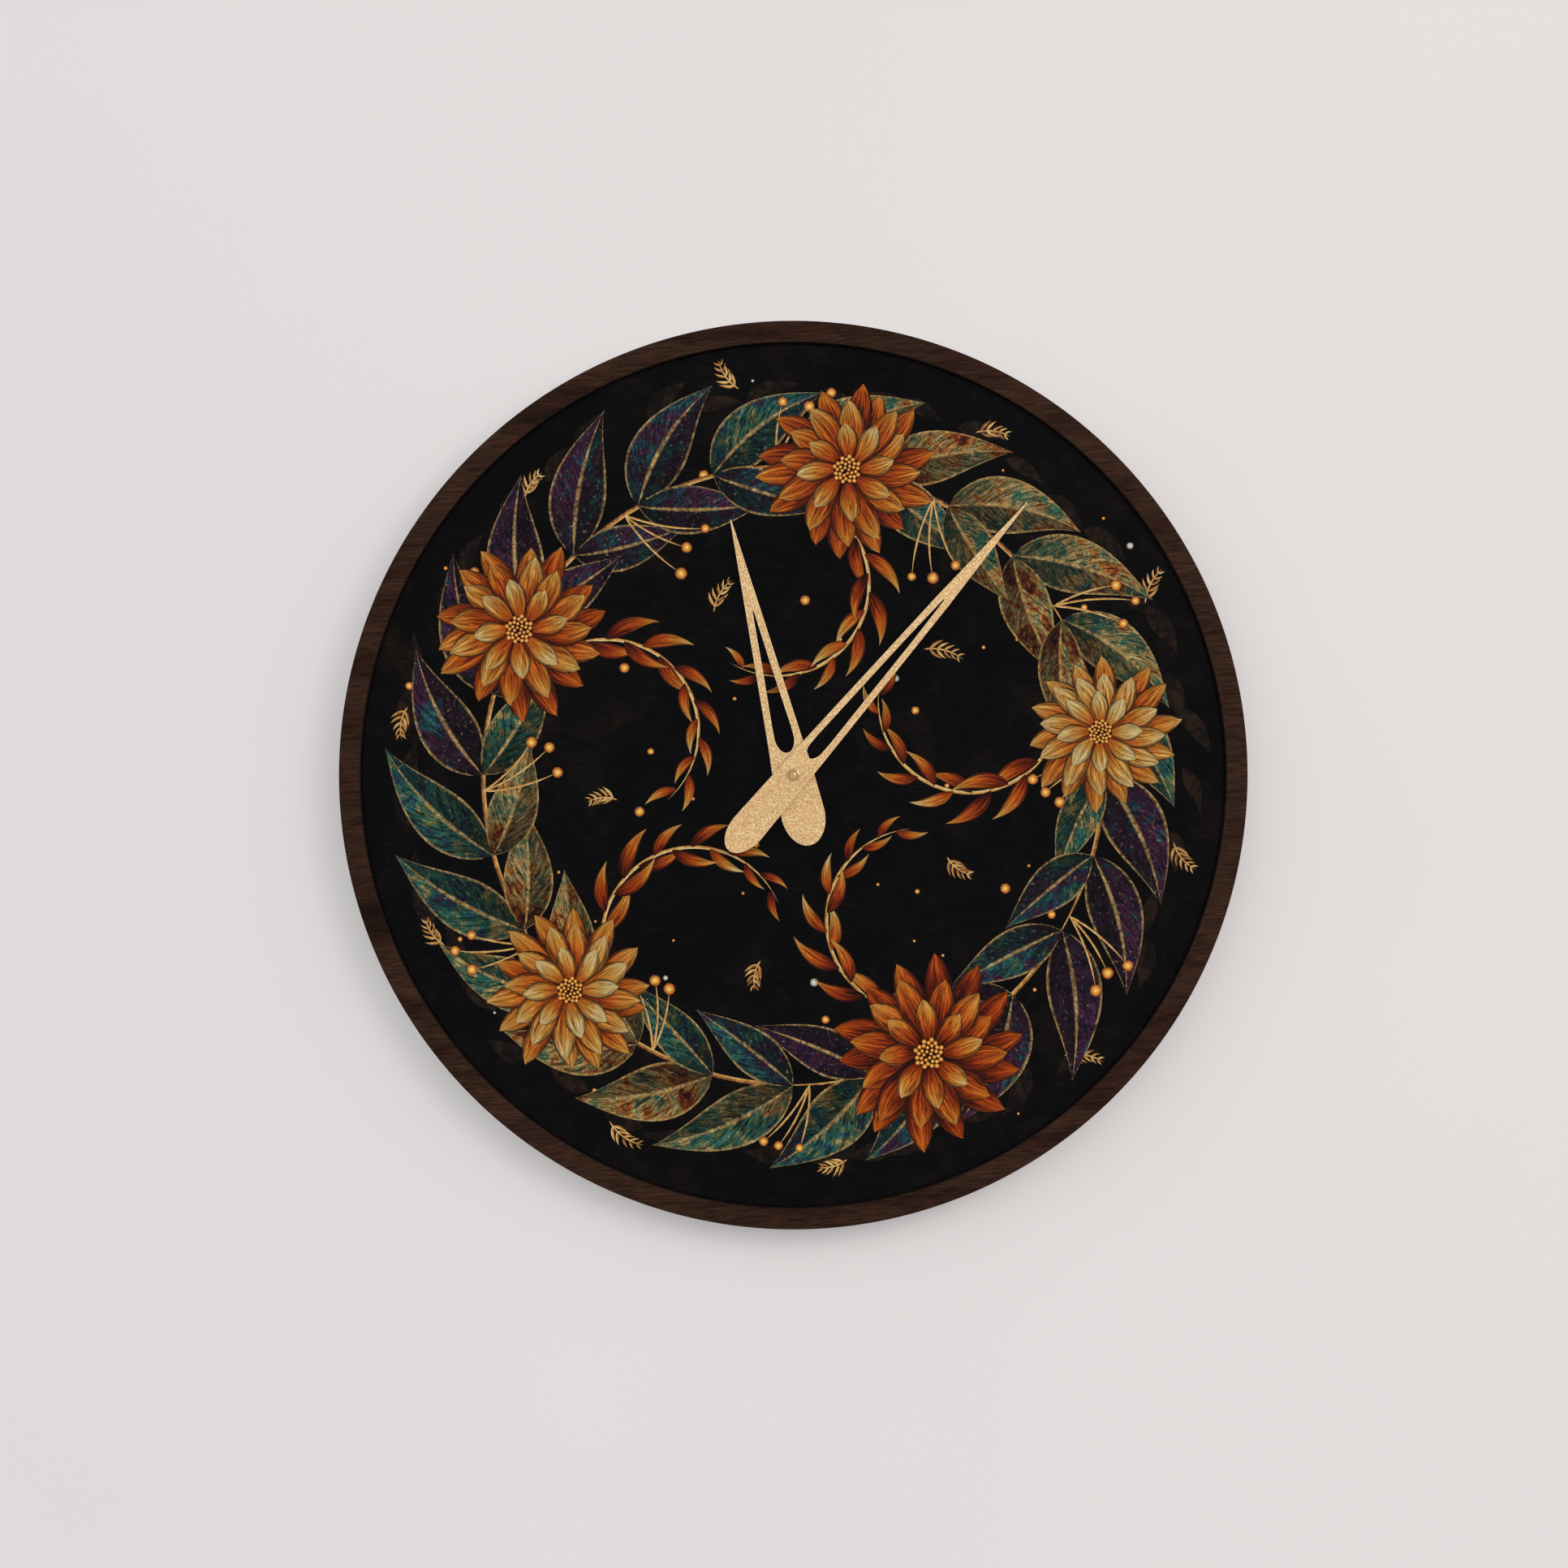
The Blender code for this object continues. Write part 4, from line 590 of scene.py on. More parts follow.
# %% [markdown]
# Leaf paint is mottled: patches of plum, indigo, teal, olive, cream, ochre and rust run into each
# other over a centimetre or two, with smaller daubs on top. Noise at two sizes gives these: it
# pushes the leaf's tint to and fro along one palette.

# %% Leaf paint
LEAF_PALETTE = [
    (0.0, "#171226"), (0.1, "#341a3a"), (0.2, "#4a1d35"), (0.3, "#24344c"), (0.4, "#1f5358"),
    (0.5, "#2d6a58"), (0.6, "#626d48"), (0.7, "#b09c66"), (0.79, "#a8702f"), (0.89, "#8c3a17"),
    (1.0, "#451513"),
]

leaf_ink, tree, shader, place, tint, blade = start_ink_material("printed_leaf_ink")
patch = add(tree, "TexNoise", {"Vector": place, "Scale": 48.0, "Detail": 5.0, "Roughness": 0.62,
                               "Distortion": 1.6})
daub = add(tree, "TexNoise", {"Vector": place, "Scale": 210.0, "Detail": 5.0, "Roughness": 0.68,
                              "Distortion": 1.2})
pushed = add(tree, "MapRange", [patch, 0.25, 0.75, -0.3, 0.3], clamp=False)
nudged = add(tree, "MapRange", [daub, 0.25, 0.75, -0.2, 0.2], clamp=False)
position = add(tree, "Math", [add(tree, "Math", [pushed, nudged]), tint])
paint = add(tree, "ValToRGB", [position], stops=LEAF_PALETTE)
print("leaf paint runs through", len(LEAF_PALETTE), "colours")

# %% [markdown]
# Brush strokes follow the side veins, with dark gaps where the black ground shows between them.
# Side veins sweep towards the tip, so the coordinate that counts them falls back the further it
# is from the midrib. The half of the leaf that turns from the light is darker, and so is its
# foot. A few pale dry-brush specks lie on top.

# %% Strokes and light on a leaf
parts = add(tree, "SeparateXYZ", [blade]).node.outputs
off_middle = add(tree, "Math", [parts["X"], 0.5], operation="SUBTRACT")
sideways = add(tree, "Math", [off_middle], operation="ABSOLUTE")
swept = add(tree, "Math", [sideways, -0.55, parts["Y"]], operation="MULTIPLY_ADD")
along_vein = add(tree, "CombineXYZ", [swept, sideways])
streak = brush_marks(tree, along_vein, (34, 6, 1), place, roughness=0.7, distortion=0.9)
value = add(tree, "MapRange", [streak, 0.4, 0.66, 0.08, 1.3])
streaked = add(tree, "VectorMath", [paint, value], operation="MULTIPLY")
turned = add(tree, "MapRange", [parts["X"], 0.44, 0.56, 1.12, 0.42])
from_foot = add(tree, "MapRange", [parts["Y"], 0.02, 0.5, 0.3, 1.05])
modelled = add(tree, "Math", [turned, from_foot], operation="MULTIPLY")
rounded = add(tree, "VectorMath", [streaked, modelled], operation="MULTIPLY")
dry = add(tree, "TexNoise", {"Vector": place, "Scale": 480.0, "Detail": 4.0, "Roughness": 0.7,
                             "Distortion": 0.6})
speck = add(tree, "MapRange", [dry, 0.61, 0.7, 0.0, 0.5])
specked = add(tree, "Mix", {0: speck, 6: rounded, 7: colour("#bfae84")}, out=2, data_type="RGBA")
print("strokes lie over the paint")

# %% [markdown]
# The side veins are thin dark lines, and a zigzag over the swept coordinate repeats them. The
# midrib and the rim are gold, worn through in places.

# %% Veins and gold lines
counted = add(tree, "Math", [swept, 11.0], operation="MULTIPLY")
zigzag = add(tree, "Math", [counted, 0.5], operation="PINGPONG")
vein = add(tree, "MapRange", [zigzag, 0.03, 0.14, 0.6, 0.0])
veined = add(tree, "Mix", {0: vein, 6: specked, 7: colour("#0c1113")}, out=2, data_type="RGBA")
midrib = add(tree, "MapRange", [sideways, 0.012, 0.05, 1.0, 0.0])
rim = add(tree, "MapRange", [sideways, 0.44, 0.49, 0.0, 1.0])
line = add(tree, "Math", [midrib, rim], operation="MAXIMUM")
wear = add(tree, "MapRange", [daub, 0.36, 0.6, 0.15, 1.0])
worn = add(tree, "Math", [line, wear], operation="MULTIPLY")
gilt = add(tree, "ValToRGB", [dry], stops=[(0.35, "#7a5426"), (0.5, "#b28e52"), (0.68, "#d6c08a")])
lined = add(tree, "Mix", {0: worn, 6: veined, 7: gilt}, out=2, data_type="RGBA")
relief = add(tree, "Bump", {"Height": streak, "Strength": 0.35, "Distance": 0.08 * MM})
fill(shader, {"Base Color": lined, "Roughness": 0.55, "Specular IOR Level": 0.08, "Normal": relief})
print("leaf ink ready")

# %% [markdown]
# The wreath's stem is one circle, and leaves leave it in pairs, an outer and an inner one, all
# leaning the way the hands go. A seeded random number keeps them from looking stamped, and the
# drawing comes out the same every time. Overlapping leaves need their own levels, so the levels
# are dealt out in turn, and the number of pairs is a multiple of three so that the deal comes out
# even. The tint drifts round the dial from teal through plum to rust and back.

# %% Wreath leaves
WREATH_RADIUS = 171 * MM
PAIRS = 24
dice = random.Random(11)


def drifting_tint(degrees):
    """The palette position of a leaf at this place on the dial."""
    return 0.45 + 0.3 * sin(radians(degrees * 2 + 40)) + dice.uniform(-0.08, 0.08)


leaves = start_ink()
for pair in range(PAIRS):
    degrees = 360 * pair / PAIRS
    forward = radians(-degrees)
    foot = around(degrees, WREATH_RADIUS)
    level = dial_front + LAYER * (8 + 2 * (pair % 3))
    add_blade(leaves, foot, forward + radians(dice.uniform(38, 48)), dice.uniform(76, 86) * MM,
              dice.uniform(29, 34) * MM, radians(dice.uniform(-42, -26)), level,
              drifting_tint(degrees), leaf_outline, (6, 18))
    add_blade(leaves, foot, forward - radians(dice.uniform(30, 44)), dice.uniform(62, 72) * MM,
              dice.uniform(23, 28) * MM, radians(dice.uniform(4, 22)), level + LAYER,
              drifting_tint(degrees + 150), leaf_outline, (6, 16))
print_ink(leaves, "wreath_leaves", leaf_ink)

# %% [markdown]
# Near the rim the ground carries dim foliage, as if more leaves lay in shade behind the wreath.
# It uses the same blades in a much darker ink, below the wreath's level.

# %% Shaded foliage
SHADED_LEAVES = 44
shade_ink, *_ = mottled("printed_shade_ink",
                        {"Scale": 120.0, "Detail": 5.0, "Roughness": 0.65, "Distortion": 1.2},
                        [(0.3, "#0a090a"), (0.48, "#161110"), (0.6, "#2b1c12"), (0.75, "#1a2421")],
                        {"Roughness": 0.55, "Specular IOR Level": 0.05})
foliage = start_ink()
for leaf in range(SHADED_LEAVES):
    degrees = 360 * leaf / SHADED_LEAVES + dice.uniform(-3, 3)
    heading = radians(-degrees + dice.uniform(8, 40))
    add_blade(foliage, around(degrees, dice.uniform(205, 216) * MM), heading, dice.uniform(24, 32) * MM,
              dice.uniform(8, 11) * MM, radians(dice.uniform(-40, -20)),
              dial_front + LAYER * (1 + leaf % 2), 0.5, leaf_outline, (2, 10))
print_ink(foliage, "shaded_foliage", shade_ink)

# %% [markdown]
# ## The blossoms
#
# Petals are painted wet in wet: near black at the foot, then rust, orange and gold, with dark
# bristle marks along them and dark sides that set one petal off from the next. The gradient is a
# ramp over v. The tint slides it, so the outer petals stay deep rust and the inner ones turn to
# pale gold.

# %% Petal ink
petal_ink, tree, shader, place, tint, blade = start_ink_material("printed_petal_ink")
parts = add(tree, "SeparateXYZ", [blade]).node.outputs
streak = brush_marks(tree, blade, (18, 2, 1), place, roughness=0.72, distortion=0.6)
wander = add(tree, "MapRange", [streak, 0.3, 0.7, -0.3, 0.24], clamp=False)
slid = add(tree, "Math", [parts["Y"], 0.8, tint], operation="MULTIPLY_ADD")
paint = add(tree, "ValToRGB", [add(tree, "Math", [slid, wander])],
            stops=[(0.0, "#140706"), (0.14, "#4a1307"), (0.32, "#8f2f0a"), (0.5, "#bb5412"),
                   (0.68, "#c87f2c"), (0.85, "#cfa052"), (1.0, "#d9bd80")])
value = add(tree, "MapRange", [streak, 0.38, 0.6, 0.25, 1.1])
streaked = add(tree, "VectorMath", [paint, value], operation="MULTIPLY")
off_middle = add(tree, "Math", [parts["X"], 0.5], operation="SUBTRACT")
sideways = add(tree, "Math", [off_middle], operation="ABSOLUTE")
fold = add(tree, "MapRange", [sideways, 0.3, 0.47, 0.0, 0.92])
folded = add(tree, "Mix", {0: fold, 6: streaked, 7: colour("#1c0906")}, out=2, data_type="RGBA")
relief = add(tree, "Bump", {"Height": streak, "Strength": 0.3, "Distance": 0.08 * MM})
fill(shader, {"Base Color": folded, "Roughness": 0.55, "Specular IOR Level": 0.08, "Normal": relief})
print("petal ink ready")

# %% [markdown]
# Each blossom has three whorls of petals round a heart. Neighbouring petals overlap, so they
# alternate between two levels, and each whorl lies above the one outside it. A mood of its own
# shifts each blossom's tint, so that one is redder and another more golden.

# %% Blossoms
BLOSSOMS = [(10, 1.0, -0.02), (82, 0.86, 0.2), (154, 1.08, -0.14), (226, 0.92, 0.14), (298, 1.0, 0.02)]
WHORLS = [(14, 47, 15, -0.16), (12, 38, 15, 0.02), (8, 25, 12, 0.22)]
petals = start_ink()
base_level = dial_front + LAYER * 16
for degrees, scale, mood in BLOSSOMS:
    centre = around(degrees, WREATH_RADIUS)
    for whorl, (count, length, width, pale) in enumerate(WHORLS):
        for petal in range(count):
            heading = 2 * pi * (petal + whorl / 2) / count + dice.uniform(-0.07, 0.07)
            long = scale * length * dice.uniform(0.9, 1.06) * MM
            foot = (centre[0] + 3 * MM * cos(heading), centre[1] + 3 * MM * sin(heading))
            add_blade(petals, foot, heading, long, scale * width * MM, radians(dice.uniform(8, 34)),
                      base_level + LAYER * (2 * whorl + petal % 2),
                      pale + mood + dice.uniform(-0.1, 0.1), petal_outline, (4, 10))
print("petals on", len(BLOSSOMS), "blossoms")

# %% [markdown]
# Seeds, berries and strewn beads share one ink. Each is a small disc with its own UV map, so the
# ink can round it with a light middle and a dark rim. A tint of one turns it from gold to silver.

# %% Bead ink
bead_ink, tree, shader, place, tint, blade = start_ink_material("printed_bead_ink")
from_middle = add(tree, "VectorMath", [blade, (0.5, 0.5, 0.0)], out="Value", operation="DISTANCE")
mottle = add(tree, "TexNoise", {"Vector": place, "Scale": 700.0, "Detail": 3.0})
reach = add(tree, "Math", [from_middle, add(tree, "MapRange", [mottle, 0, 1, -0.12, 0.12])])
glow = add(tree, "ValToRGB", [reach],
           stops=[(0.05, "#f2d27a"), (0.22, "#dda036"), (0.38, "#b8641f"), (0.5, "#4a200e")])
silver = add(tree, "ValToRGB", [reach], stops=[(0.05, "#e4e0d4"), (0.3, "#b9b3a2"), (0.5, "#4c4a48")])
bead = add(tree, "Mix", {0: tint, 6: glow, 7: silver}, out=2, data_type="RGBA")
fill(shader, {"Base Color": bead, "Roughness": 0.45, "Specular IOR Level": 0.2})
print("bead ink ready")

# %% [markdown]
# The heart of a blossom is a dark disc covered with seed beads. The disc is petal ink at a tint so
# low that only its near-black foot is left of it. The beads follow the golden angle, which is how
# seeds pack in a real flower head.

# %% Hearts and seeds
HEART_RADIUS = 7.5 * MM
SEEDS = 34
GOLDEN_ANGLE = radians(137.508)
GOLD, SILVER, NEAR_BLACK = 0.0, 1.0, -0.8
hearts = start_ink()
for degrees, scale, _ in BLOSSOMS:
    centre = around(degrees, WREATH_RADIUS)
    add_disc(petals, centre, scale * HEART_RADIUS, base_level + LAYER * 5.5, NEAR_BLACK, 32)
    for seed in range(SEEDS):
        out = scale * HEART_RADIUS * sqrt((seed + 0.5) / SEEDS)
        spot = (centre[0] + out * cos(seed * GOLDEN_ANGLE), centre[1] + out * sin(seed * GOLDEN_ANGLE))
        add_disc(hearts, spot, scale * (0.95 + 0.4 * seed / SEEDS) * MM,
                 base_level + LAYER * (6 + seed % 4), GOLD, 10)
print_ink(petals, "blossom_petals", petal_ink)
print_ink(hearts, "blossom_seeds", bead_ink)

# %% [markdown]
# ## Sprays, ferns and beads
#
# Stems, stalks and ferns are drawn in one gold ink. It is an ochre with a paler side, mottled so
# that it looks brushed.

# %% Gold line ink
gold_ink, tree, shader, place, tint, blade = start_ink_material("printed_gold_line_ink")
mottle = add(tree, "TexNoise", {"Vector": place, "Scale": 320.0, "Detail": 4.0, "Roughness": 0.7})
across = add(tree, "Math", [add(tree, "SeparateXYZ", [blade]), 0.45, mottle], operation="MULTIPLY_ADD")
gilt = add(tree, "ValToRGB", [add(tree, "Math", [across, tint])],
           stops=[(0.35, "#4f2c12"), (0.55, "#a3662a"), (0.75, "#c99a4c"), (1.0, "#e0c589")])
fill(shader, {"Base Color": gilt, "Roughness": 0.45, "Specular IOR Level": 0.25})
print("gold ink ready")

# %% [markdown]
# From each blossom a spray curls into the black middle. Its gold stem is only a very long narrow
# blade with a strong bend, and its autumn-coloured leaves, in petal ink, sprout from points along
# the same arc, smaller towards the tip. The wreath's own stem is six such blades in a circle.

# %% Sprays and the wreath's stem
SPRAY_LENGTH = 150 * MM
SPRAY_BEND = radians(-170)
SPRAY_LEAVES = 13
stems = start_ink()
stem_level = dial_front + LAYER * 3
for part in range(6):
    degrees = 60 * part
    add_blade(stems, around(degrees, WREATH_RADIUS), radians(-degrees), WREATH_RADIUS * radians(66),
              2.4 * MM, radians(-66), stem_level + LAYER * (part % 2), -0.15, stem_outline, (2, 40))
sprays = start_ink()
for degrees, *_ in BLOSSOMS:
    foot = around(degrees, WREATH_RADIUS - 26 * MM)
    heading = radians(90 - degrees + 180 + 58)
    add_blade(stems, foot, heading, SPRAY_LENGTH, 1.8 * MM, SPRAY_BEND, stem_level, 0.05,
              stem_outline, (2, 48))
    for leaf in range(SPRAY_LEAVES):
        along = 0.1 + 0.07 * leaf
        spot, turned = arc_point(foot, heading, SPRAY_LENGTH, SPRAY_BEND, along)
        side = 1 if leaf % 2 else -1
        size = (1.12 - 0.55 * along) * dice.uniform(0.88, 1.1) * MM
        add_blade(sprays, spot, turned + side * radians(dice.uniform(38, 54)), 31 * size,
                  8.5 * size, radians(-50 * side), stem_level + LAYER * (1 + leaf % 4),
                  dice.uniform(-0.05, 0.3), leaf_outline, (4, 12))
print_ink(stems, "gold_stems", gold_ink)
print_ink(sprays, "spray_leaves", petal_ink)

# %% [markdown]
# Berries hang between the wreath's leaves in threes, each on its own gold stalk, and each a dab of
# the same ink as the seeds.

# %% Berries
BERRY_CLUSTERS = 12
berries = start_ink()
stalks = start_ink()
for cluster in range(BERRY_CLUSTERS):
    degrees = 360 / BERRY_CLUSTERS * cluster + 27
    foot = around(degrees, WREATH_RADIUS)
    side = 1 if cluster % 2 else -1
    for berry in range(3):
        heading = radians(-degrees + side * (58 + 16 * berry) + dice.uniform(-4, 4))
        long = dice.uniform(34, 46) * MM
        bend = radians(-side * 24)
        spot, turned = arc_point(foot, heading, long, bend, 1)
        add_blade(stalks, foot, heading, long, 1.1 * MM, bend, base_level - LAYER * (4 + berry) / 3,
                  0.0, stem_outline, (1, 12))
        add_disc(berries, spot, dice.uniform(2.4, 3.4) * MM, base_level - LAYER / 2, GOLD, 20)
print_ink(berries, "wreath_berries", bead_ink)
print_ink(stalks, "berry_stalks", gold_ink)

# %% [markdown]
# Ferns fill the gaps: a short curved stem with five pairs of narrow leaves that get smaller
# towards the tip. They stand in the black middle and between the wreath's leaf tips at the rim.
# The list gives where each one's foot is, in degrees and millimetres, and which way it points.

# %% Ferns
FERNS = [(46, 100, 80), (118, 96, 150), (190, 104, 215), (262, 98, 290), (334, 100, 5),
         (28, 214, 72), (64, 216, 2), (100, 213, 165), (136, 215, 75), (172, 214, 230),
         (208, 216, 150), (244, 214, 300), (280, 216, 215), (316, 213, 10), (352, 215, 300)]
ferns = start_ink()
for degrees, radius, pointing in FERNS:
    foot = around(degrees, radius * MM)
    heading = radians(90 - pointing)
    bend = radians(dice.choice((-50, 50)))
    long = dice.uniform(17, 25) * MM
    add_blade(ferns, foot, heading, long, 0.9 * MM, bend, stem_level, 0.0, stem_outline, (1, 10))
    for pair in range(5):
        along = 0.14 + 0.17 * pair
        spot, turned = arc_point(foot, heading, long, bend, along)
        for side in (-1, 1):
            add_blade(ferns, spot, turned + side * radians(dice.uniform(45, 60)),
                      (10 - 7 * along) * MM, (1.9 - along) * MM, radians(-35 * side),
                      stem_level + LAYER, dice.uniform(-0.25, 0.1), leaf_outline, (2, 6))
print_ink(ferns, "gold_ferns", gold_ink)

# %% [markdown]
# Beads of gold, and here and there a pale one, are strewn over the black middle. A new bead is
# kept only if it stands clear of those before it, so no two touch.

# %% Strewn beads
BEADS = 64
CLEAR = 11 * MM
beads = start_ink()
kept = []
while len(kept) < BEADS:
    degrees = dice.uniform(0, 360)
    radius = sqrt(dice.uniform(40**2, 228**2)) * MM
    size = dice.choice((0.8, 0.9, 1.1, 1.4, 1.9, 2.3, 2.8)) * MM
    spot = Vector(around(degrees, radius))
    if all((spot - other).length > CLEAR + size for other in kept):
        kept.append(spot)
        add_disc(beads, spot, size, stem_level, SILVER if len(kept) % 6 == 0 else GOLD, 20)
print_ink(beads, "strewn_beads", bead_ink)

# %% [markdown]
# ## The hands
#
# The hands are aluminium, stamped and coated with a champagne gold glitter powder. The flakes are
# about 0.3 mm, each tilted its own way. A Voronoi cell is a flake here: its random colour picks its
# shade, from dull gold to a near-white painted glint for a flake that catches the light, and tips
# its normal a little. Along the stamped edges the powder draws thin, so the rounding there has a
# paler finish of its own, partly that thin coat and partly a painted highlight along the edge.

# %% Hands in gold powder coat
hands_coat, tree, shader, place = start_material("gold_glitter_powder_coat")
flake = add(tree, "TexVoronoi", {"Vector": place, "Scale": 2600.0, "Randomness": 1.0}, out="Color")
lone = add(tree, "SeparateColor", [flake]).node.outputs
# Each flake's shade is partly its own tone and partly a painted glint: the palest flakes stand for those
# that catch the light.
shade = add(tree, "ValToRGB", [lone[0]],
            stops=[(0.0, "#ae834f"), (0.3, "#d5a871"), (0.7, "#ebc086"), (1.0, "#fff8c3")])
cloud = add(tree, "TexNoise", {"Vector": place, "Scale": 60.0, "Detail": 2.0})
even = add(tree, "MapRange", [cloud, 0, 1, 0.93, 1.06])
glinting_coat = add(tree, "VectorMath", [shade, even], operation="MULTIPLY")
glint = add(tree, "MapRange", [lone[1], 0, 1, 0.3, 0.6])
relief = add(tree, "Bump", {"Height": lone[2], "Strength": 0.4, "Distance": 0.06 * MM})
fill(shader, {"Base Color": glinting_coat, "Metallic": 0.45, "Roughness": glint, "Normal": relief})

# The paler, brighter edge finish is partly the thinner coat and partly a painted highlight along the edge.
worn_and_highlit_edge, *_ = mottled("thin_coat_and_highlight_hand_edge", {"Scale": 1800.0, "Detail": 3.0},
                     [(0.35, "#e2c095"), (0.65, "#fbe3bd")], {"Metallic": 0.35, "Roughness": 0.45})
for node, body in (("hour_hand", "hour_group"), ("minute_hand", "minute_group")):
    soften(node, node + "_coated", [hands_coat, worn_and_highlit_edge], body, 0.22 * MM)

# %% [markdown]
# The small turned parts are brass. A lathe leaves rings about a tenth of a millimetre apart,
# which spread a highlight into a cross: here they are a wave in the distance from the hand axis,
# drawn at 0.25 mm so that a close view shows them.

# %% Turned brass
brass, tree, shader, tarnish = mottled("turned_brass", {"Scale": 900.0, "Detail": 3.0},
                                       [(0.3, "#bb996b"), (0.6, "#d7b586"), (0.8, "#eed1a4")],
                                       {"Metallic": 1.0})
flat = add(tree, "Mapping", {"Vector": add(tree, "TexCoord", out="Object"), "Scale": (1, 0, 1)})
from_axis = add(tree, "VectorMath", [flat], out="Value", operation="LENGTH")
rings = add(tree, "Math", [from_axis, 2 * pi / (0.25 * MM)], operation="MULTIPLY")
wave = add(tree, "Math", [rings], operation="SINE")
polish = add(tree, "MapRange", [tarnish, 0, 1, 0.16, 0.28])
relief = add(tree, "Bump", {"Height": wave, "Strength": 0.06, "Distance": 0.01 * MM})
fill(shader, {"Roughness": polish, "Normal": relief})
print("brass ready")

# %% [markdown]
# The cap nut is a flange with a dome on it, and a blind hole for the arbor's thread. Its CAD solid
# has few facets, so the dome is spun again here with a finer arc, between the same levels.

# %% Cap nut
DOME_RADIUS = 2.7 * MM
BORE = 1.2 * MM
ROOF_THICKNESS = FLANGE_THICKNESS = 0.6 * MM
RIM_EASE = 0.12 * MM
cap_low, cap_high = back_of("cap_nut"), front_of("cap_nut")
cap_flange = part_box("cap_nut")[1].x
flange_top = cap_low + FLANGE_THICKNESS
roof = cap_high - ROOF_THICKNESS
dome = [(DOME_RADIUS * cos(pi / 2 * i / 10), flange_top + (cap_high - flange_top) * sin(pi / 2 * i / 10))
        for i in range(10)]
rim = [(cap_flange - RIM_EASE, cap_low), (cap_flange, cap_low + RIM_EASE),
       (cap_flange, flange_top - RIM_EASE), (cap_flange - RIM_EASE, flange_top)]
bm = bmesh.new()
turn_profile(bm, [(0, roof), (BORE, roof), (BORE, cap_low)] + rim + dome + [(0, cap_high)], 48)
finish_piece(bm, "domed_cap_nut", [brass], "minute_group", "cap_nut")

# %% [markdown]
# The other brass parts lie round the hub: the nut and washer that clamp the dial, the collet under
# the hour hand, and the bushing. Their CAD shape is right, so only their edges are rounded.

# %% Washer, nut, collet and bushing
for node, body, width in (("hex_nut", "clock_body", 0.25), ("dial_washer", "clock_body", 0.12),
                          ("hour_hand_collet", "hour_group", 0.08),
                          ("threaded_bushing", "clock_body", 0.12)):
    soften(node, node + "_turned", [brass], body, width * MM)

# %% [markdown]
# ## The movement
#
# The movement's case, cover and knob are moulded from black ABS. The mould is spark-eroded, which
# leaves a fine even grain and takes the shine off: noise tips the normal, drawn at about 0.4 mm,
# three times coarser than real, so that it shows. The edges of mouldings are never sharp, so each
# is rounded.

# %% Black ABS
abs_plastic, tree, shader, _ = mottled("moulded_black_abs",
                                       {"Scale": 90.0, "Detail": 3.0, "Distortion": 1.5},
                                       [(0.3, "#28282b"), (0.7, "#333337")], {"IOR": 1.54})
grain = add(tree, "TexNoise", {"Vector": add(tree, "TexCoord", out="Object"), "Scale": 2400.0,
                               "Detail": 3.0, "Roughness": 0.6})
gloss = add(tree, "MapRange", [grain, 0, 1, 0.42, 0.6])
relief = add(tree, "Bump", {"Height": grain, "Strength": 0.6, "Distance": 0.12 * MM})
fill(shader, {"Roughness": gloss, "Normal": relief})
soften("movement_case", "moulded_case", [abs_plastic], "clock_body", 0.2 * MM)
cover = soften("movement_cover", "moulded_cover", [abs_plastic], "clock_body", 0.15 * MM)
soften("setting_knob", "ribbed_knob", [abs_plastic], "setting_group", 0.12 * MM)

# %% [markdown]
# A mould leaves signs that help whoever fits a battery or sets the time. On the cover's back there
# are a frame for the date of making, two curved arrows round the knob, a plus and a minus at the
# battery's ends, and the round prints of the ejector pins. They are drawn flat first. The frame is
# a rectangle with its middle taken out, and the plus is a grid of nine cells without its corners.

# %% Signs, drawn flat
FRAME_SIZE, FRAME_MIDDLE, FRAME_LINE = (34 * MM, 12 * MM), (-4 * MM, 15 * MM), 0.6 * MM
ARROW_RADIUS = 8.2 * MM
ARROW_BEND = radians(100)
SIGN_CELL = 0.8 * MM
EJECTOR_PRINTS = ((-23, 24), (23, 24), (-23, 3), (0, 3))


def arrow_outline(along):
    """A shaft with a head on it."""
    return 0.34 if along < 0.7 else (1 - along) / 0.3


signs = start_ink()
inside = bmesh.ops.create_grid(signs, x_segments=1, y_segments=1, size=0.5)["verts"][0].link_faces[0]
for vert in inside.verts:
    vert.co = (vert.co.x * FRAME_SIZE[0] + FRAME_MIDDLE[0], vert.co.y * FRAME_SIZE[1] + FRAME_MIDDLE[1], 0)
bmesh.ops.inset_region(signs, faces=[inside], thickness=FRAME_LINE, use_boundary=True)
bmesh.ops.delete(signs, geom=[inside], context="FACES")
knob_middle = sum(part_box("setting_knob"), Vector()) / 2
for start in (30, 210):
    angle = radians(start)
    foot = (knob_middle.x + ARROW_RADIUS * cos(angle), knob_middle.z + ARROW_RADIUS * sin(angle))
    add_blade(signs, foot, angle + pi / 2, ARROW_RADIUS * ARROW_BEND, 2.6 * MM, ARROW_BEND, 0, 0,
              arrow_outline, (2, 20))
for side, rows in ((-1, 1), (1, 3)):
    sign = bmesh.ops.create_grid(signs, x_segments=3, y_segments=rows, size=0.5)["verts"]
    corners = [face for face in {face for vert in sign for face in vert.link_faces}
               if rows == 3 and min(abs(face.calc_center_median()[i]) for i in (0, 1)) > 0.2]
    for vert in sign:
        vert.co = (vert.co.x * 3 * SIGN_CELL + side * 24 * MM, vert.co.y * rows * SIGN_CELL - 8.9 * MM, 0)
    bmesh.ops.delete(signs, geom=corners, context="FACES")
for x, y in EJECTOR_PRINTS:
    add_disc(signs, (x * MM, y * MM), 1.3 * MM, 0, 0, 32)
print("signs drawn with", len(signs.faces), "faces")

# %% [markdown]
# Then the signs are thickened into a cutter that reaches as far into the cover as out of it, and
# a Boolean modifier takes them out of the rounded cover, 0.3 mm deep.

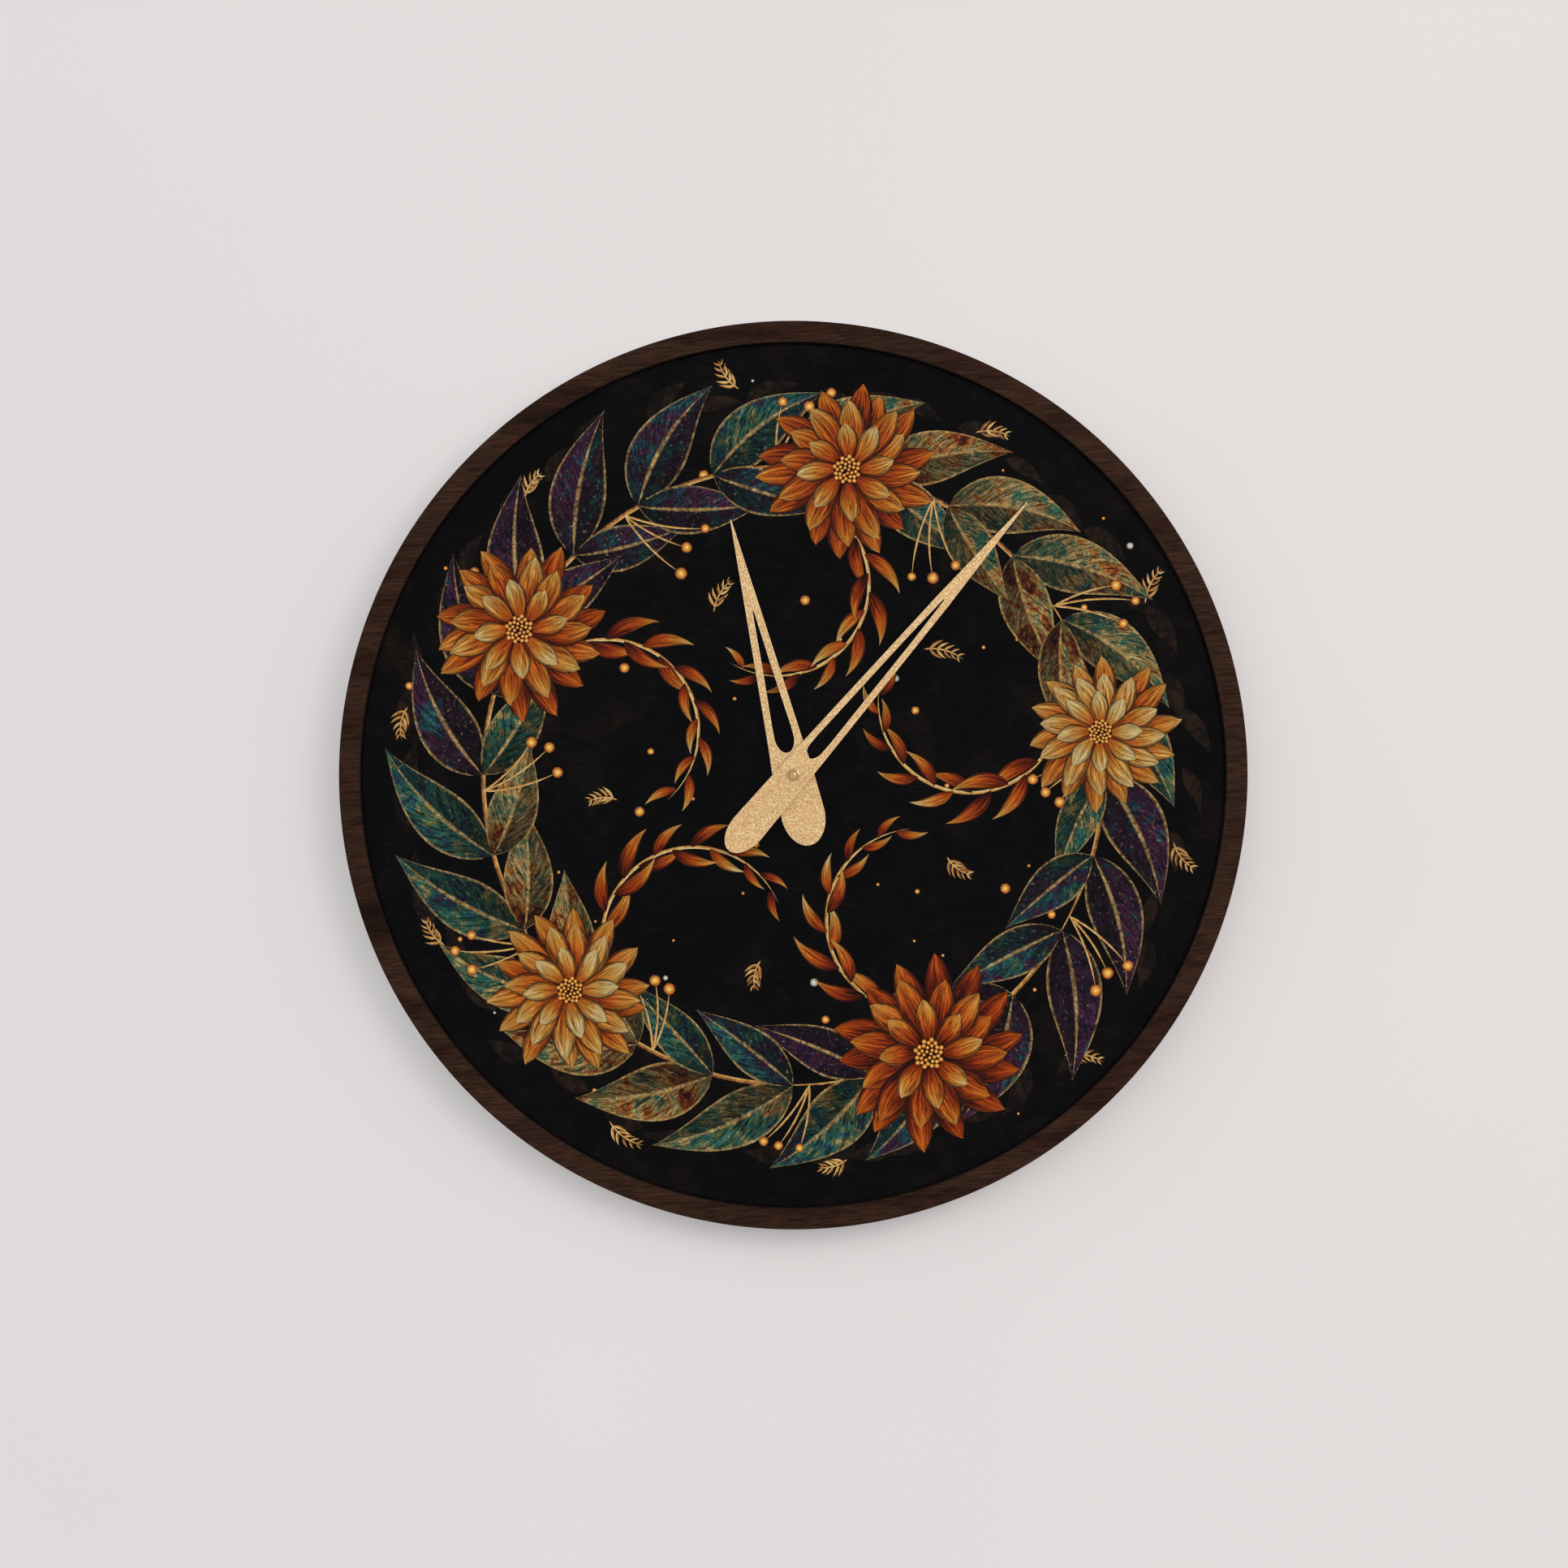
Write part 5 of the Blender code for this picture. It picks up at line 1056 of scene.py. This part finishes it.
# %% Signs, sunk into the cover
SIGN_DEPTH = 0.3 * MM
bmesh.ops.remove_doubles(signs, verts=signs.verts, dist=TOUCHING)
bmesh.ops.translate(signs, verts=signs.verts, vec=(0, 0, -SIGN_DEPTH))
top = bmesh.ops.extrude_face_region(signs, geom=signs.faces[:])["geom"]
bmesh.ops.translate(signs, verts=[item for item in top if isinstance(item, bmesh.types.BMVert)],
                    vec=(0, 0, 2 * SIGN_DEPTH))
bmesh.ops.rotate(signs, verts=signs.verts, matrix=QUARTER_TURN)
bmesh.ops.recalc_face_normals(signs, faces=signs.faces)
cutter = bpy.data.objects.new("signs", bpy.data.meshes.new("signs"))
signs.to_mesh(cutter.data)
signs.free()
bpy.context.scene.collection.objects.link(cutter)
cover.modifiers.clear()
sunk = cover.modifiers.new("signs", "BOOLEAN")
sunk.object, sunk.operation, sunk.solver = cutter, "DIFFERENCE", "EXACT"
cut = bpy.data.meshes.new_from_object(cover.evaluated_get(bpy.context.evaluated_depsgraph_get()))
cover.modifiers.clear()
cover.data = cut
cut.set_sharp_from_angle(angle=SHARP_ANGLE)
even_out(cover)
bpy.data.objects.remove(cutter)
print("cover with signs has", len(cut.polygons), "faces")

# %% [markdown]
# The battery is a steel can in a plain printed jacket. Its two ends are bare plated steel, so
# the jacket's colour stops short of them: a mask in X paints the ends, a thin pale band and the
# jacket.

# %% Battery jacket
low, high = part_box("battery")
jacket, tree, shader, place = start_material("printed_cell_jacket")
along = add(tree, "MapRange", [add(tree, "SeparateXYZ", [place]), low.x, high.x])
zones = add(tree, "ValToRGB", [along], stops=[(0.0, "#a9adb2"), (0.016, "#49535f"), (0.78, "#c9ccd0"),
                                              (0.8, "#49535f"), (0.957, "#b4b8bd")])
zones.node.color_ramp.interpolation = "CONSTANT"
dust = add(tree, "TexNoise", {"Vector": place, "Scale": 500.0, "Detail": 3.0})
tone = add(tree, "MapRange", [dust, 0, 1, 0.92, 1.06])
printed = add(tree, "VectorMath", [zones, tone], operation="MULTIPLY")
shine = add(tree, "MapRange", [dust, 0, 1, 0.26, 0.36])
fill(shader, {"Base Color": printed, "Metallic": 0.35, "Roughness": shine})
print("jacket ready")

# %% [markdown]
# The cell's body is spun again, about its own axis, with the rolled edges of a real can and the
# small nub at its positive end.

# %% Battery
NUB_LENGTH, NUB_RADIUS, NUB_EASE = 1.2 * MM, 2.75 * MM, 0.2 * MM
ROLL = 0.6 * MM
radius = (high.z - low.z) / 2
end = (high.x - low.x) / 2
shoulder = end - NUB_LENGTH
roll = [(radius - ROLL + ROLL * sin(radians(a)), -end + ROLL - ROLL * cos(radians(a)))
        for a in (0, 22, 45, 68, 90)]
top_roll = [(r, shoulder - (z + end)) for r, z in reversed(roll)]
nub = [(NUB_RADIUS, shoulder), (NUB_RADIUS, end - NUB_EASE), (NUB_RADIUS - NUB_EASE, end), (0, end)]
bm = bmesh.new()
turn_profile(bm, [(0, -end)] + roll + top_roll + nub, 64)
bmesh.ops.rotate(bm, verts=bm.verts, matrix=Matrix.Rotation(pi / 2, 3, "Y"))
bmesh.ops.translate(bm, verts=bm.verts, vec=(low + high) / 2)
bmesh.ops.recalc_face_normals(bm, faces=bm.faces)
finish_piece(bm, "aa_cell", [jacket], "battery_group", "battery", lying=False)

# %% [markdown]
# The gasket is moulded rubber: matt, slightly uneven and a little grey where it is dusty.

# %% Rubber gasket
rubber, *_ = mottled("moulded_black_rubber", {"Scale": 260.0, "Detail": 4.0},
                     [(0.35, "#242424"), (0.7, "#383735")], {"Roughness": 0.85, "Specular IOR Level": 0.3})
soften("rubber_gasket", "gasket_ring", [rubber], "clock_body", 0.15 * MM)

# %% [markdown]
# ## Inside the movement
#
# The sealed parts keep their CAD shape, and get the finish of what they are made of. The wheels
# are white acetal, which is slightly waxy: a warm white with faint flow marks from the mould and a
# soft gloss.

# %% Acetal
acetal, tree, shader, flow = mottled("moulded_white_acetal",
                                     {"Scale": 260.0, "Detail": 3.0, "Distortion": 1.0},
                                     [(0.3, "#dedbd0"), (0.7, "#ebe8df")], {"Roughness": 0.36, "IOR": 1.48})
fill(shader, {"Normal": add(tree, "Bump", {"Height": flow, "Strength": 0.1, "Distance": 0.03 * MM})})
print("acetal ready")

# %% [markdown]
# Plated and rolled strip metals differ in colour and in their fine rolling lines, which run
# along the strip. One cell makes the family: the same network, with each metal's own colours,
# roughness and line spacing.

# %% Rolled and plated metals
METALS = {
    "nickel_plated_steel": ("#a9adb2", "#c8cbcf", 0.22, 0.34, 700),
    "rolled_spring_bronze": ("#a8743f", "#c8935a", 0.26, 0.4, 900),
    "stamped_silicon_steel": ("#7f8287", "#9fa1a5", 0.34, 0.5, 1100),
}
metals = {}
for name, (dark, light, smooth, rough, spacing) in METALS.items():
    metals[name], tree, shader, place = start_material(name)
    rolled = add(tree, "Mapping", {"Vector": place, "Scale": (spacing / 12, spacing * 2, spacing * 2)})
    lines = add(tree, "TexNoise", {"Vector": rolled, "Scale": 1.0, "Detail": 4.0})
    shade = add(tree, "ValToRGB", [lines], stops=[(0.3, dark), (0.7, light)])
    polish = add(tree, "MapRange", [lines, 0, 1, smooth, rough])
    fill(shader, {"Base Color": shade, "Metallic": 1.0, "Roughness": polish})
print("metals:", ", ".join(metals))

# %% [markdown]
# The coil is wound with enamelled copper wire, layer on layer. Its turns run round the core, so
# along the coil the wires stand side by side: a sine along X, at 0.3 mm instead of the real
# 0.08 mm so that it can be seen. The colour darkens where the sine dips, which is painted shade
# in the grooves between the wires.

# %% Enamelled copper
copper, tree, shader, place = start_material("enamelled_copper_winding")
turns = add(tree, "Math", [add(tree, "SeparateXYZ", [place]), 2 * pi / (0.3 * MM)], operation="MULTIPLY")
wires = add(tree, "Math", [turns], operation="SINE")
# Painted shade: the copper is darkest in the grooves between the turns.
shade_between_wires = add(tree, "MapRange", [wires, -1.0, 0.4])
shade = add(tree, "ValToRGB", [shade_between_wires], stops=[(0.0, "#55260f"), (1.0, "#bd672f")])
relief = add(tree, "Bump", {"Height": wires, "Strength": 0.5, "Distance": 0.1 * MM})
fill(shader, {"Base Color": shade, "Metallic": 0.7, "Roughness": 0.3, "Normal": relief})
print("copper ready")

# %% [markdown]
# The board is glass-fibre laminate under a green solder mask, whose weave shows faintly as a
# checker of two crossed waves, 0.5 mm apart. The chip sits under a blob of black resin, and the
# rotor is a sintered ferrite magnet, dark and finely speckled.

# %% Board, resin and ferrite
THREAD = 2 * pi / (0.5 * MM)
board, tree, shader, place = start_material("green_masked_fibre_board")
parts = add(tree, "SeparateXYZ", [place]).node.outputs
warp, weft = [add(tree, "Math", [add(tree, "Math", [parts[way], THREAD], operation="MULTIPLY")],
                  operation="SINE") for way in "XZ"]
weave = add(tree, "Math", [warp, weft], operation="MULTIPLY")
shade = add(tree, "ValToRGB", [weave], stops=[(0.0, "#245a33"), (1.0, "#35774a")])
fill(shader, {"Base Color": shade, "Roughness": 0.32})
resin, *_ = mottled("cast_chip_resin", {"Scale": 500.0, "Detail": 2.0},
                    [(0.3, "#0b0b0c"), (0.7, "#151516")], {"Roughness": 0.24})
ferrite, *_ = mottled("sintered_ferrite", {"Scale": 3000.0, "Detail": 2.0},
                      [(0.35, "#2c2c2f"), (0.7, "#48484c")], {"Roughness": 0.6})
print("board, resin and ferrite ready")

# %% [markdown]
# The sealed pieces are dressed from a table: each finish with the CAD pieces that wear it.

# %% Dress the sealed pieces
WORN_BY = [
    (acetal, ["setting_pinion", "hour_wheel", "motion_wheel", "centre_wheel", "third_wheel",
              "seconds_wheel", "intermediate_wheel", "rotor_pinion", "coil_bobbin"]),
    (abs_plastic, ["middle_plate"]),
    (metals["nickel_plated_steel"], ["minute_arbor", "quartz_crystal", "battery_contact_positive"]),
    (metals["rolled_spring_bronze"], ["clutch_spring", "battery_contact_negative"]),
    (metals["stamped_silicon_steel"], ["stator_plate", "coil_core"]),
    (copper, ["coil_winding"]),
    (board, ["circuit_board"]),
    (resin, ["circuit_chip"]),
    (ferrite, ["rotor_magnet"]),
]
for material, worn_by in WORN_BY:
    for name in worn_by:
        nodes[name].material_slots[0].material = material
print("dressed", sum(len(names) for _, names in WORN_BY), "sealed pieces")
